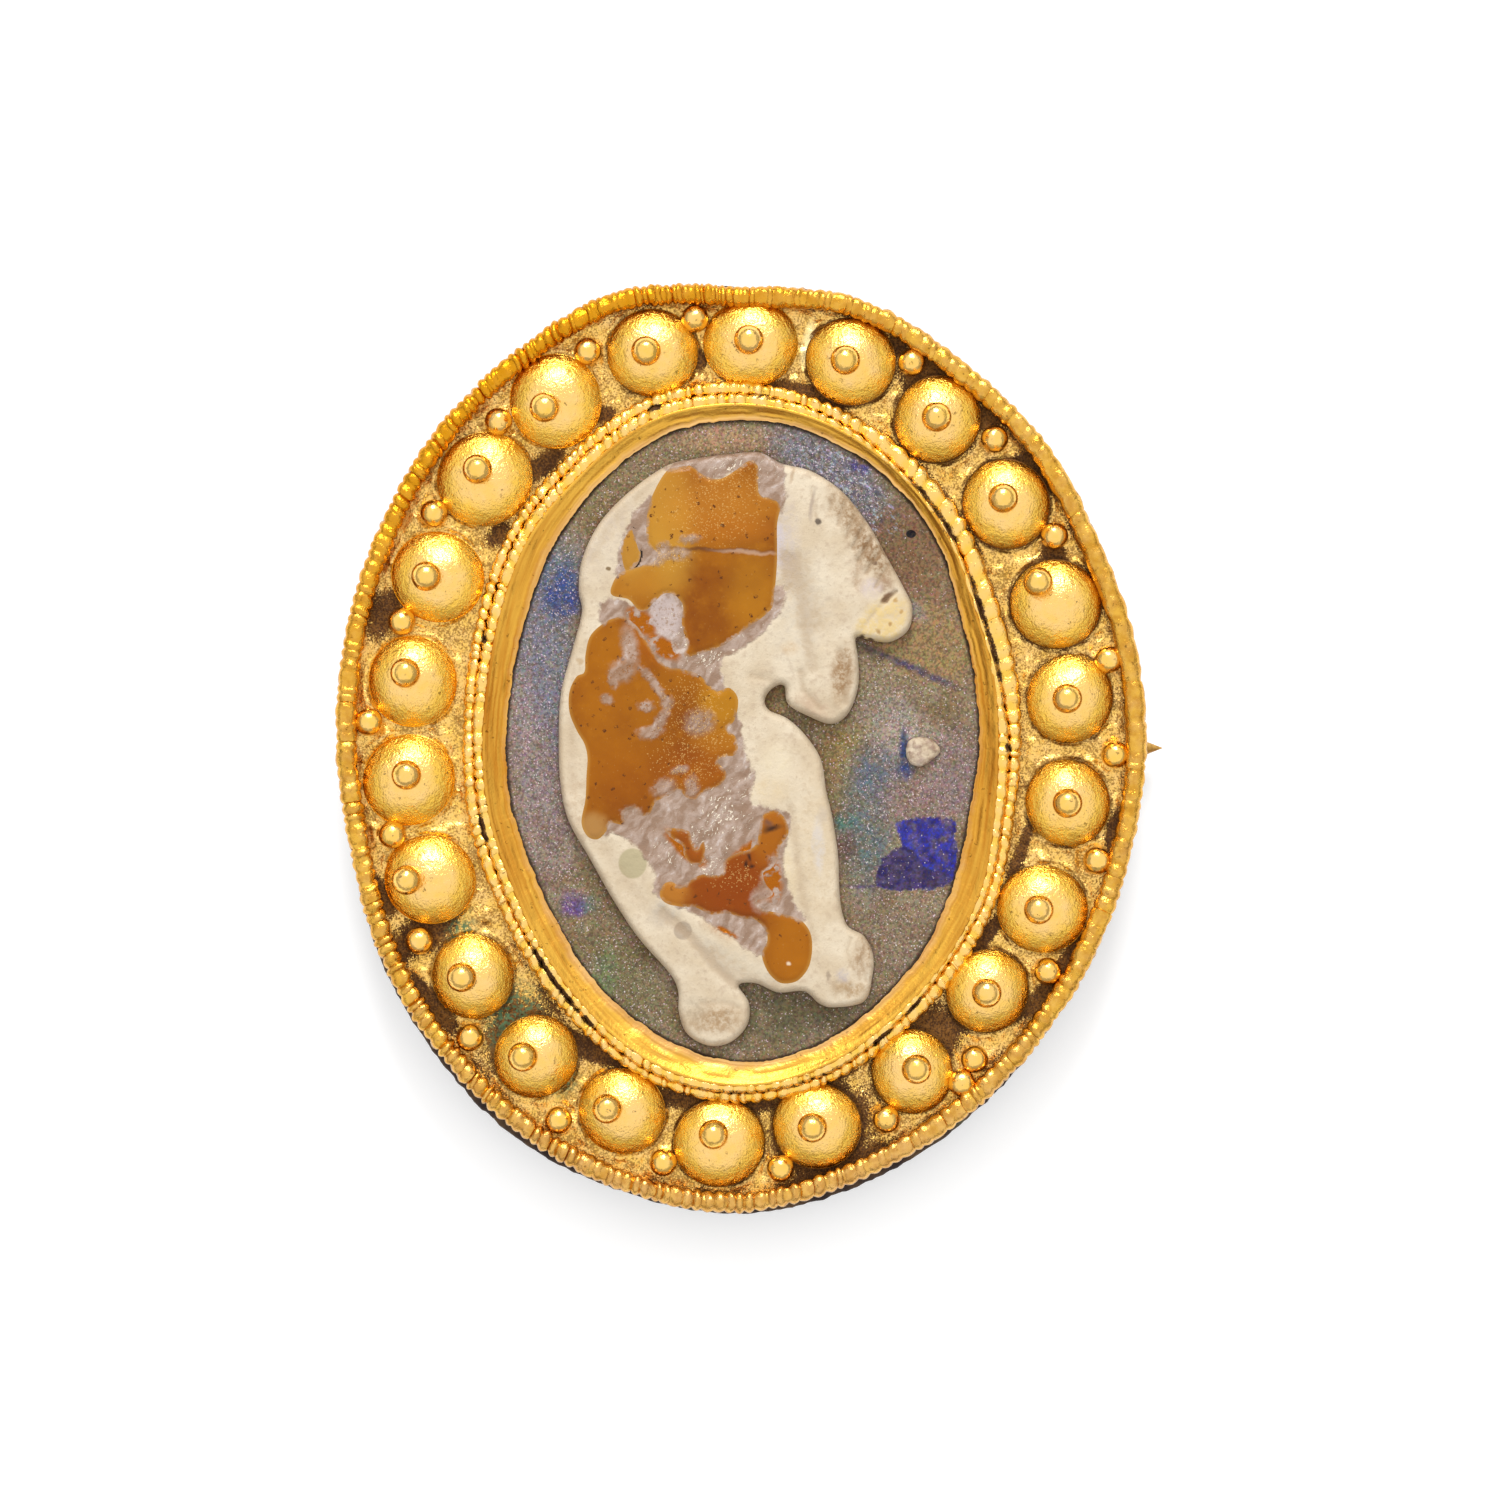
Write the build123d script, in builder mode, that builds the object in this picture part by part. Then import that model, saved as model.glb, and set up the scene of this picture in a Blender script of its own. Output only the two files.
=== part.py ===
"""Glass cameo brooch: a layered glass relief of a lion in an oval gold mount with bosses.

The brooch lies on its back with its face up (+Z) and the top of the picture towards +Y.
The origin is on the surface that it lies on, under the middle of its outline, pin tip included.
All sizes are in millimetres, and all angles are in degrees, counterclockwise from +X.
"""
import os
from math import cos, hypot, radians, sin, sqrt

from build123d import *

# Outline of the gold mount and of the glass that shows inside its collar
BODY_WIDTH = 40.3
BODY_LENGTH = 46.6
WINDOW_WIDTH = 23.7
WINDOW_LENGTH = 32.1

# Thin clearance left wherever two separate pieces meet
GAP = 0.05

# Pin fittings on the back, which the brooch lies on
STANDOFF = 3.2
PIN_D = 0.7
PIN_HEIGHT = 1.4
PIN_REACH = 1.0
PIN_POINT = 0.9
FITTING_INSET = 5.5
HINGE_FOOT = (3.0, 8.0)
CATCH_FOOT = (2.2, 5.0)
CATCH_SLOT = 0.5

# Back plate, and how far its edge may stand out past the rim wire
PLATE_T = 0.9
PLATE_STEP = 0.3

# Gold sheet that everything is soldered on, and the wire round its edge.
# Soldered pieces are sunk a little into each other, by SOLDER.
SHEET_T = 0.45
SHEET_INSET = 0.35
RIM_WIRE_D = 1.2
SOLDER = 0.08

# Collar that holds the glass, with the two wires round its foot
GLASS_T = 1.0
LIP_WIDTH = 1.25
LIP_EDGE = 0.15
LIP_RISE = 0.35
OVERLAP = 0.25
OUTER_WIRE_D = 0.8
INNER_WIRE_D = 0.65
WIRES_WIDTH = 1.25
WIRE_RISE = 0.3

# Domed bosses, the granule on each, and the granules between them
BOSS_D = 4.5
BOSS_FOOT = 0.35
BOSS_H = 1.35
GRANULE_D = 1.5
SPANDREL_GRANULE_D = 1.4
SEAT = 0.35

# Relief layers of the cameo
FIGURE_H = 0.9
FIGURE_FOOT = 0.3
BEVEL = 0.3
INLAY_DEPTH = 0.4
INLAY_PROUD = 0.08
FLECK_H = 0.35

# The hand-made ovals, at each angle: the rim and the window as shares of true ellipses,
# the plate's edge outside the rim as a share of PLATE_STEP, the lip as a share of LIP_WIDTH
OVALS = [
    # angle, rim, plate, lip, window
    (0, 1.012, -0.8, 0.94, 1.008),
    (15, 1.011, -1.0, 0.74, 1.014),
    (30, 1.000, -1.0, 0.66, 1.017),
    (45, 1.007, -0.6, 0.50, 1.050),
    (60, 1.001, -1.0, 0.40, 1.046),
    (75, 1.013, -0.4, 0.40, 1.030),
    (90, 0.994, 0.0, 0.42, 1.022),
    (105, 1.029, -1.0, 0.82, 1.024),
    (120, 1.022, -1.0, 1.22, 1.014),
    (135, 1.022, -1.0, 1.14, 1.005),
    (150, 1.018, -1.0, 1.26, 0.989),
    (165, 1.014, -0.8, 1.10, 0.985),
    (180, 1.005, -0.4, 0.94, 0.987),
    (195, 0.996, -0.2, 0.90, 0.980),
    (210, 1.004, 0.1, 1.06, 0.953),
    (225, 1.000, 0.5, 1.06, 0.946),
    (240, 0.997, 1.0, 1.10, 0.952),
    (255, 0.998, 0.2, 0.90, 0.957),
    (270, 1.000, 0.3, 0.46, 0.978),
    (285, 0.977, 1.0, 0.58, 0.980),
    (300, 0.974, 0.5, 0.82, 0.986),
    (315, 0.979, 0.0, 0.94, 0.998),
    (330, 0.990, -0.8, 1.06, 0.993),
    (345, 1.001, -0.6, 0.98, 0.989),
]

# The row of OVALS where each closed outline of the mount begins and ends.
# They differ, as the joints of the real wires do, so that no two joints meet.
SHEET_JOINT = 0
COLLAR_JOINT = 3
RIM_WIRE_JOINT = 6
OUTER_WIRE_JOINT = 9
INNER_WIRE_JOINT = 15

# Each boss: its angle, its place across the band from the collar's wires to the rim wire,
# its size as a share of BOSS_D, and how far its granule sits off its middle, in its radii
BOSSES = [
    # angle, across, size, side, up
    (8.5, 0.47, 0.98, -0.09, 0.00),
    (24.5, 0.55, 1.02, -0.40, 0.47),
    (42.5, 0.49, 1.00, -0.09, 0.11),
    (59.0, 0.53, 0.98, -0.04, 0.02),
    (74.0, 0.54, 1.00, -0.13, 0.00),
    (88.5, 0.55, 0.96, -0.04, 0.04),
    (102.5, 0.48, 1.00, -0.13, 0.00),
    (118.0, 0.48, 1.04, -0.22, -0.16),
    (133.5, 0.48, 1.06, -0.13, 0.18),
    (150.5, 0.45, 1.02, -0.22, 0.00),
    (168.5, 0.47, 1.00, -0.13, 0.18),
    (185.5, 0.51, 1.02, -0.02, 0.11),
    (203.0, 0.49, 1.00, -0.49, 0.00),
    (220.5, 0.49, 0.93, -0.24, 0.00),
    (236.5, 0.48, 0.93, -0.29, 0.02),
    (252.0, 0.43, 0.96, -0.33, 0.09),
    (267.0, 0.50, 0.98, -0.13, 0.22),
    (281.5, 0.47, 0.98, -0.11, 0.00),
    (298.0, 0.40, 0.93, 0.09, 0.09),
    (315.5, 0.37, 0.93, -0.04, -0.02),
    (332.0, 0.49, 1.00, -0.11, 0.00),
    (350.5, 0.47, 0.96, -0.04, 0.00),
]

# Each granule in a corner between two bosses: its angle and its place across the band
SPANDREL_GRANULES = [
    (13.5, 0.92),
    (34.0, 0.81),
    (50.5, 0.83),
    (66.0, 0.89),
    (96.0, 0.85),
    (111.0, 0.78),
    (126.5, 0.77),
    (142.5, 0.76),
    (159.5, 0.68),
    (176.0, 0.89),
    (194.0, 0.77),
    (211.0, 0.80),
    (227.0, 0.87),
    (244.0, 0.87),
    (259.5, 0.82),
    (275.5, 0.84),
    (291.5, 0.74),
    (303.5, 0.91),
    (307.0, 0.80),
    (324.0, 0.86),
    (342.5, 0.90),
    (359.0, 0.91),
]

# Outlines of the relief, in shares of half the window's width and half its length.
# The lion stands upright with its head bent to the right, clockwise from the top of its mane.
LION = [
    (0.177, 0.885),
    (0.435, 0.794),
    (0.616, 0.598),
    (0.722, 0.436),
    (0.650, 0.335),
    (0.505, 0.320),
    (0.500, 0.193),
    (0.388, 0.078),
    (0.215, 0.130),
    (0.145, 0.175),
    (0.140, 0.110),
    (0.278, 0.037),
    (0.363, -0.131),
    (0.414, -0.333),
    (0.451, -0.551),
    (0.561, -0.660),
    (0.523, -0.788),
    (0.397, -0.807),
    (0.250, -0.750),
    (0.068, -0.738),
    (0.020, -0.800),
    (0.000, -0.885),
    (-0.135, -0.925),
    (-0.257, -0.822),
    (-0.300, -0.698),
    (-0.536, -0.470),
    (-0.722, -0.227),
    (-0.764, 0.003),
    (-0.709, 0.299),
    (-0.667, 0.421),
    (-0.667, 0.583),
    (-0.481, 0.788),
    (-0.190, 0.900),
    (0.055, 0.913),
]

# The amber glass let into the lion's back, its flank and its thigh, each clockwise from the top
AMBER = {
    "amber_back": [
        (-0.300, 0.832),
        (-0.170, 0.835),
        (0.010, 0.835),
        (0.090, 0.800),
        (0.160, 0.720),
        (0.150, 0.520),
        (0.110, 0.420),
        (-0.030, 0.350),
        (-0.220, 0.290),
        (-0.260, 0.360),
        (-0.310, 0.440),
        (-0.530, 0.480),
        (-0.420, 0.580),
        (-0.390, 0.690),
    ],
    "amber_flank": [
        (-0.540, 0.390),
        (-0.430, 0.370),
        (-0.310, 0.250),
        (-0.100, 0.180),
        (-0.015, 0.140),
        (-0.010, -0.010),
        (-0.060, -0.110),
        (-0.200, -0.160),
        (-0.400, -0.200),
        (-0.560, -0.240),
        (-0.650, -0.220),
        (-0.640, -0.060),
        (-0.695, 0.110),
        (-0.670, 0.220),
    ],
    "amber_thigh": [
        (0.140, -0.205),
        (0.200, -0.235),
        (0.150, -0.370),
        (0.150, -0.470),
        (0.260, -0.550),
        (0.290, -0.630),
        (0.190, -0.705),
        (0.100, -0.640),
        (0.000, -0.530),
        (-0.200, -0.500),
        (-0.280, -0.430),
        (-0.200, -0.400),
        (-0.080, -0.400),
        (0.060, -0.330),
    ],
}

# The chip of white glass beside the lion
FLECK = [(0.840, -0.010), (0.780, 0.030), (0.710, 0.020), (0.710, -0.040), (0.760, -0.055)]

# Heights above the surface that the brooch lies on
plate_top = STANDOFF + PLATE_T
sheet_bottom = plate_top + GAP
sheet_top = sheet_bottom + SHEET_T
glass_bottom = plate_top + GAP
glass_top = glass_bottom + GLASS_T
lip_bottom = glass_top + GAP
collar_top = lip_bottom + LIP_EDGE + LIP_RISE
relief_bottom = glass_top + GAP
relief_top = relief_bottom + FIGURE_H

# The ovals' middle, moved so that the pin tip doesn't put the outline off centre
MIDDLE = (-PIN_REACH / 2, 0)


def ellipse_radius(angle, width, length):
    """Distance from the middle of a true ellipse to its edge."""
    across = width / 2
    along = length / 2
    return across * along / hypot(along * cos(radians(angle)), across * sin(radians(angle)))


def polar(angle, radius):
    """The point at an angle and a radius from the ovals' middle."""
    return (MIDDLE[0] + radius * cos(radians(angle)), MIDDLE[1] + radius * sin(radians(angle)))


def rim_radius(row, grow=0):
    """Outer edge of the rim wire, or of what stands in or out from it."""
    return row[1] * ellipse_radius(row[0], BODY_WIDTH, BODY_LENGTH) + grow


def plate_radius(row, grow=0):
    """Edge of the back plate, which isn't quite as large as the rim all round."""
    return rim_radius(row, row[2] * PLATE_STEP + grow)


def window_radius(row, grow=0):
    """Inner edge of the lip, or of what stands in or out from it."""
    return row[4] * ellipse_radius(row[0], WINDOW_WIDTH, WINDOW_LENGTH) + grow


def collar_radius(row, grow=0):
    """Outer face of the collar, or of what stands in or out from it."""
    return window_radius(row, row[3] * LIP_WIDTH + grow)


def oval(radius, grow=0, joint=0):
    """Points of one of the hand-made ovals, from the row where its joint is."""
    return [polar(row[0], radius(row, grow)) for row in OVALS[joint:] + OVALS[:joint]]


def across_band(angle, share):
    """The point at a share of the way from the collar's wires to the rim wire."""
    step = OVALS[1][0]
    low = OVALS[int(angle // step)]
    high = OVALS[int(angle // step + 1) % len(OVALS)]
    part = angle % step / step
    inner, outer = (
        (1 - part) * radius(low, grow) + part * radius(high, grow)
        for radius, grow in ((collar_radius, WIRES_WIDTH), (rim_radius, -RIM_WIRE_D))
    )
    return polar(angle, inner + share * (outer - inner))


def on_window(shares):
    """Points given as shares of half the window's width and length."""
    return [(MIDDLE[0] + x * WINDOW_WIDTH / 2, MIDDLE[1] + y * WINDOW_LENGTH / 2) for x, y in shares]


def inset(points, distance):
    """A clockwise outline moved inwards, square to the line through each point's neighbours."""
    moved = []
    for before, point, after in zip(points[-1:] + points[:-1], points, points[1:] + points[:1]):
        run = Vector(*after) - Vector(*before)
        inwards = Vector(run.Y, -run.X).normalized()
        moved.append((point[0] + distance * inwards.X, point[1] + distance * inwards.Y))
    return moved


def face(points, height):
    """A flat face inside a closed smooth outline, at a height."""
    with BuildSketch(Plane.XY.offset(height)) as sketch:
        with BuildLine():
            Spline(*points, periodic=True)
        make_face()
    return sketch.sketch


def wire_ring(points, height, diameter):
    """A round wire bent along a closed smooth line, with solder under it down to the sheet."""
    with BuildPart() as ring:
        with BuildLine(Plane.XY.offset(height)) as path:
            Spline(*points, periodic=True)
        along = path.line % 0
        sideways = Vector(0, 0, 1).cross(along)
        with BuildSketch(Plane(origin=path.line @ 0, x_dir=sideways, z_dir=along)):
            Circle(diameter / 2)
            Rectangle(diameter, height - sheet_top + SOLDER, align=(Align.CENTER, Align.MAX))
        sweep()
    return ring.part


def cap_radius(radius, rise):
    """Radius of the sphere whose cap is as wide and as high as a dome."""
    return (radius**2 + rise**2) / (2 * rise)


def dome(x, y, radius, foot, height):
    """A round cap on an upright foot, soldered on the sheet."""
    with BuildPart() as raised:
        with BuildSketch(Plane(origin=(x, y, sheet_top), x_dir=(1, 0, 0), z_dir=(0, -1, 0))):
            with BuildLine():
                Polyline((0, height), (0, -SOLDER), (radius, -SOLDER), (radius, foot))
                RadiusArc((radius, foot), (0, height), -cap_radius(radius, height - foot))
            make_face()
        revolve(axis=Axis((x, y, 0), (0, 0, 1)))
    return raised.part


def bevelled(points, bottom, shoulder, top, bevel):
    """A low relief with an upright foot, a sloping edge and a flat top."""
    with BuildPart() as relief:
        extrude(face(points, bottom), amount=shoulder - bottom)
        loft([face(points, shoulder), face(inset(points, bevel), top)])
    return relief.part


# The pin with its hinge and its catch
hinge_x = MIDDLE[0] - BODY_WIDTH / 2 + FITTING_INSET
catch_x = MIDDLE[0] + BODY_WIDTH / 2 - FITTING_INSET
pin_tip = polar(0, rim_radius(OVALS[0], PIN_REACH))[0]

with BuildPart() as pin:
    with BuildSketch(Plane.YZ.offset(hinge_x)) as pin_end:
        with Locations((0, PIN_HEIGHT)):
            Circle(PIN_D / 2)
    extrude(amount=pin_tip - PIN_POINT - hinge_x)
    with BuildSketch(Plane.XZ) as point:
        with BuildLine():
            Polyline(
                (pin_tip - PIN_POINT, PIN_HEIGHT),
                (pin_tip, PIN_HEIGHT),
                (pin_tip - PIN_POINT, PIN_HEIGHT + PIN_D / 2),
                close=True,
            )
        make_face()
    revolve(axis=Axis((0, 0, PIN_HEIGHT), (1, 0, 0)))

with BuildPart() as hinge:
    with BuildSketch(Plane.XY) as hinge_foot:
        with Locations((hinge_x, 0)):
            Rectangle(*HINGE_FOOT)
    extrude(amount=STANDOFF - GAP)
    fillet(hinge.edges().filter_by(Axis.Z), radius=min(HINGE_FOOT) / 4)

with BuildPart() as catch:
    with BuildSketch(Plane.XY) as catch_foot:
        with Locations((catch_x, 0)):
            Rectangle(*CATCH_FOOT)
    extrude(amount=STANDOFF - GAP)
    fillet(catch.edges().filter_by(Axis.Z), radius=min(CATCH_FOOT) / 4)
    with BuildSketch(Plane.YZ.offset(catch_x)) as slot:
        with Locations((-CATCH_FOOT[1] / 2, PIN_HEIGHT)):
            Rectangle(CATCH_FOOT[1], CATCH_SLOT)
    extrude(amount=CATCH_FOOT[0], both=True, mode=Mode.SUBTRACT)

with BuildPart() as brooch_pin:
    add(pin.part)
    add(hinge.part)
    add(catch.part)

# The back plate
with BuildPart() as back_plate:
    extrude(face(oval(plate_radius), STANDOFF), amount=PLATE_T)

# The gold mount: sheet, rim wire, collar with its wires, bosses and granules, all soldered
with BuildPart() as sheet:
    extrude(face(oval(rim_radius, -SHEET_INSET, SHEET_JOINT), sheet_bottom), amount=SHEET_T)
    extrude(
        face(oval(collar_radius, -SOLDER, SHEET_JOINT), sheet_bottom),
        amount=SHEET_T,
        mode=Mode.SUBTRACT,
    )

rim_wire = wire_ring(
    oval(rim_radius, -RIM_WIRE_D / 2, RIM_WIRE_JOINT),
    sheet_top + RIM_WIRE_D / 2 - SOLDER,
    RIM_WIRE_D,
)

window = oval(window_radius, joint=COLLAR_JOINT)
with BuildPart() as collar:
    extrude(
        face(oval(collar_radius, joint=COLLAR_JOINT), sheet_bottom),
        amount=collar_top - sheet_bottom,
    )
    extrude(
        face(oval(window_radius, OVERLAP, COLLAR_JOINT), sheet_bottom),
        amount=lip_bottom - sheet_bottom,
        mode=Mode.SUBTRACT,
    )
    extrude(face(window, lip_bottom), amount=LIP_EDGE, mode=Mode.SUBTRACT)
    loft(
        [
            face(window, lip_bottom + LIP_EDGE),
            face(oval(collar_radius, -LIP_EDGE, COLLAR_JOINT), collar_top),
        ],
        mode=Mode.SUBTRACT,
    )

outer_wire_z = sheet_top + OUTER_WIRE_D / 2 - SOLDER
outer_wire = wire_ring(
    oval(collar_radius, WIRES_WIDTH - OUTER_WIRE_D / 2, OUTER_WIRE_JOINT),
    outer_wire_z,
    OUTER_WIRE_D,
)
inner_wire = wire_ring(
    oval(collar_radius, INNER_WIRE_D / 2 - SOLDER, INNER_WIRE_JOINT),
    outer_wire_z + WIRE_RISE,
    INNER_WIRE_D,
)

# Each boss, with a granule set into its top
with BuildPart() as bosses:
    for angle, across, size, side, up in BOSSES:
        x, y = across_band(angle, across)
        radius = size * BOSS_D / 2
        add(dome(x, y, radius, BOSS_FOOT, BOSS_H))
        sphere_r = cap_radius(radius, BOSS_H - BOSS_FOOT)
        off_middle = radius * hypot(side, up)
        under = BOSS_H - sphere_r + sqrt(sphere_r**2 - off_middle**2)
        with Locations((x + side * radius, y + up * radius, sheet_top + under + SEAT)):
            Sphere(GRANULE_D / 2)

# Each granule between the bosses stands in solder up to its widest
with BuildPart() as spandrel_granules:
    for angle, across in SPANDREL_GRANULES:
        x, y = across_band(angle, across)
        radius = SPANDREL_GRANULE_D / 2
        add(dome(x, y, radius, SEAT, SEAT + radius))

with BuildPart() as gold_mount:
    add(sheet.part)
    add(collar.part)
    add(rim_wire)
    add(outer_wire)
    add(inner_wire)
    add(bosses.part)
    add(spandrel_granules.part)

# The glass ground, which lies on the back plate with its edge under the lip
with BuildPart() as glass_ground:
    extrude(face(oval(window_radius, OVERLAP - GAP), glass_bottom), amount=GLASS_T)

# The white lion, with a pocket for each piece of amber glass
with BuildPart() as white_lion:
    add(bevelled(on_window(LION), relief_bottom, relief_bottom + FIGURE_FOOT, relief_top, BEVEL))
    for outline in AMBER.values():
        extrude(
            face(on_window(outline), relief_top - INLAY_DEPTH),
            amount=INLAY_DEPTH,
            mode=Mode.SUBTRACT,
        )

inlays = {}
for name, outline in AMBER.items():
    inlay_bottom = relief_top - INLAY_DEPTH + GAP
    with BuildPart() as inlay:
        extrude(
            face(inset(on_window(outline), GAP), inlay_bottom),
            amount=relief_top + INLAY_PROUD - inlay_bottom,
        )
    inlays[name] = inlay.part

white_fleck = bevelled(
    on_window(FLECK), relief_bottom, relief_bottom + FLECK_H / 2, relief_bottom + FLECK_H, GAP * 3
)

pieces = {
    "brooch_pin": brooch_pin.part,
    "back_plate": back_plate.part,
    "gold_mount": gold_mount.part,
    "glass_ground": glass_ground.part,
    "white_lion": white_lion.part,
    "white_fleck": white_fleck,
    **inlays,
}

os.makedirs("parts", exist_ok=True)
for name, piece in pieces.items():
    piece.label = name
    export_step(piece, f"parts/{name}.step")
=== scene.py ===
"""A glass cameo brooch, face up on a white table: its finishes, and the fine shapes of its face.

The solids come in as a fixed frame. Sizes here are in millimetres and angles in degrees,
counterclockwise from +X. Every mesh is made in metres, in the frame of the solids.
Outlines and patches traced on the photograph are lists of its pixels, and their names end in PX.
"""
from math import cos, hypot, pi, radians, sin

import bpy
import numpy as np
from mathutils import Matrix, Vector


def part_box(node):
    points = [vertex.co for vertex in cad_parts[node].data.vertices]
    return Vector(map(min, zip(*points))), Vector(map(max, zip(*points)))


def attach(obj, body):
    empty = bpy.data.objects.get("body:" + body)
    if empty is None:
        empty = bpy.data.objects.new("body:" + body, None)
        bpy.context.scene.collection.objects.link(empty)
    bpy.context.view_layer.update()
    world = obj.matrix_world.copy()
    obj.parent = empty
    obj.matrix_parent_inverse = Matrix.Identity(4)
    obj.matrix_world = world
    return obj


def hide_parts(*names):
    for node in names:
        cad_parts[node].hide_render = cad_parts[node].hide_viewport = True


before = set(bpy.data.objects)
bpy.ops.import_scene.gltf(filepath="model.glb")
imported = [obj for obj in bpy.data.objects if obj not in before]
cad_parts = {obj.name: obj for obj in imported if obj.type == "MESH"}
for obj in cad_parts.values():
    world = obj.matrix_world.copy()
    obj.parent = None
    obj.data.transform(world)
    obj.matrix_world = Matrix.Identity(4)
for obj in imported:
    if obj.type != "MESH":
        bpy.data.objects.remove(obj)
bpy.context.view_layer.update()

# Brooch pin
# A straight bronze pin with its hinge and its catch, on the back of the brooch. Only the filed
# point shows past the rim, and traces of gilding are left on it. The solid itself is shown.


class Value:
    """A value in a finish. Sums written with it in Python add Math nodes."""

    def __init__(self, finish, socket):
        self.finish = finish
        self.socket = socket

    def math(self, operation, first, second=0.0, clamp=False):
        settings = {"operation": operation, "use_clamp": clamp}
        return self.finish.node("Math", settings, {0: first, 1: second})

    def __add__(self, other):
        return self.math("ADD", self, other)

    def __sub__(self, other):
        return self.math("SUBTRACT", self, other)

    def __rsub__(self, other):
        return self.math("SUBTRACT", other, self)

    def __mul__(self, other):
        return self.math("MULTIPLY", self, other)

    __radd__ = __add__
    __rmul__ = __mul__

    def kept(self):
        """The value, kept from 0 to 1."""
        return self.math("ADD", self, 0.0, clamp=True)


class Finish:
    """A material: its Principled shader, and nodes for what varies over the surface."""

    def __init__(self, name, steady):
        self.material = bpy.data.materials.new(name)
        self.material.use_nodes = True
        self.tree = self.material.node_tree
        self.shader = self.tree.nodes["Principled BSDF"]
        for socket, value in steady.items():
            self.shader.inputs[socket].default_value = value
        place = self.node("TexCoord", output="Object")
        self.place = self.node("VectorMath", {"operation": "SCALE"}, {0: place, "Scale": 1000.0})

    def node(self, kind, settings=None, sockets=None, output=0):
        """Adds a node: its settings first, then the values or links of its sockets."""
        made = self.tree.nodes.new("ShaderNode" + kind)
        for name, value in (settings or {}).items():
            if name == "stops":
                stops = made.color_ramp.elements
                stops.remove(stops[1])
                stops[0].position, stops[0].color = value[0][0], (*value[0][1], 1.0)
                for place, colour in value[1:]:
                    stops.new(place).color = (*colour, 1.0)
            else:
                setattr(made, name, value)
        for name, value in (sockets or {}).items():
            self.join(value, made.inputs[name])
        return Value(self, made.outputs[output])

    def join(self, value, socket):
        """Gives a socket a link, a number, a vector or a colour."""
        if isinstance(value, Value):
            self.tree.links.new(value.socket, socket)
        elif socket.type == "RGBA":
            socket.default_value = (*value[:3], 1.0)
        else:
            socket.default_value = value

    def set(self, **values):
        """Gives the shader what varies over the surface."""
        for name, value in values.items():
            self.join(value, self.shader.inputs[name.replace("_", " ")])

    def mix(self, share, low, high, blend="MIX"):
        """A colour between two, at a share from 0 to 1."""
        settings = {"data_type": "RGBA", "blend_type": blend}
        return self.node("Mix", settings, {0: share, 6: low, 7: high}, output=2)

    def step(self, value, low, high):
        """A smooth step from 0 where a value is low to 1 where it is high."""
        return self.node("MapRange", {"interpolation_type": "SMOOTHSTEP"}, {0: value, 1: low, 2: high})

    def noise(self, size, detail=2.0, seed=0.0, place=None):
        """Soft noise about 0.5, whose lumps are as large as a size."""
        sockets = {"Vector": place or self.place, "W": seed, "Scale": 1 / size, "Detail": detail}
        return self.node("TexNoise", {"noise_dimensions": "4D"}, sockets)

    def warped(self, size, reach, seed=0.0):
        """The place on the surface, pushed about so that an edge drawn on it turns ragged."""
        sockets = {"Vector": self.place, "W": seed, "Scale": 1 / size, "Detail": 5.0}
        push = self.node("TexNoise", {"noise_dimensions": "4D"}, sockets, output="Color")
        push = self.node("VectorMath", {"operation": "SUBTRACT"}, {0: push, 1: (0.5, 0.5, 0.5)})
        push = self.node("VectorMath", {"operation": "SCALE"}, {0: push, "Scale": 2 * reach})
        return self.node("VectorMath", {"operation": "ADD"}, {0: self.place, 1: push})

    def shade(self, name):
        """A value that the mesh holds at each of its points."""
        return self.node("Attribute", {"attribute_name": name}, output="Fac")

    def bump(self, height, depth, below=None):
        """The surface's direction with fine relief, whose height of 1 is a depth in mm."""
        sockets = {"Distance": depth / 1000, "Height": height}
        if below:
            sockets["Normal"] = below
        return self.node("Bump", {}, sockets)


# How much lighter a flat surface shows than its paint under these lights
LIGHT_LEVEL = 1.25


def screen(red, green, blue):
    """The paint for a colour that is given as a screen shows it under the lights, 0 to 255."""
    return tuple(((c / 255 + 0.055) / 1.055) ** 2.4 / LIGHT_LEVEL for c in (red, green, blue))


pin_finish = Finish("gilded_bronze", {"Metallic": 1.0})
wear = pin_finish.noise(0.5, 4.0)
pin_finish.set(
    Base_Color=pin_finish.mix(
        pin_finish.step(wear, 0.4, 0.6), screen(176, 128, 62), screen(226, 178, 96)
    ),
    Roughness=0.3 + wear * 0.3,
    Normal=pin_finish.bump(pin_finish.noise(0.12, 3.0, 2.0), 0.01),
)
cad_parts["brooch_pin"].data.materials.clear()
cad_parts["brooch_pin"].data.materials.append(pin_finish.material)

# Back plate
# A bronze plate, cut and hammered by hand, which closes the back of the mount. It has gone dark,
# and its bitten edge shows past the gold at the lower left and the bottom.

MM = 0.001
BODY_WIDTH = 40.3
BODY_LENGTH = 46.6
PLATE_STEP = 0.3
RADIUS_STEPS = 1440

# The ovals' middle, moved by half of what the pin's point stands out
MIDDLE = (-0.5, 0.0)

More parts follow.
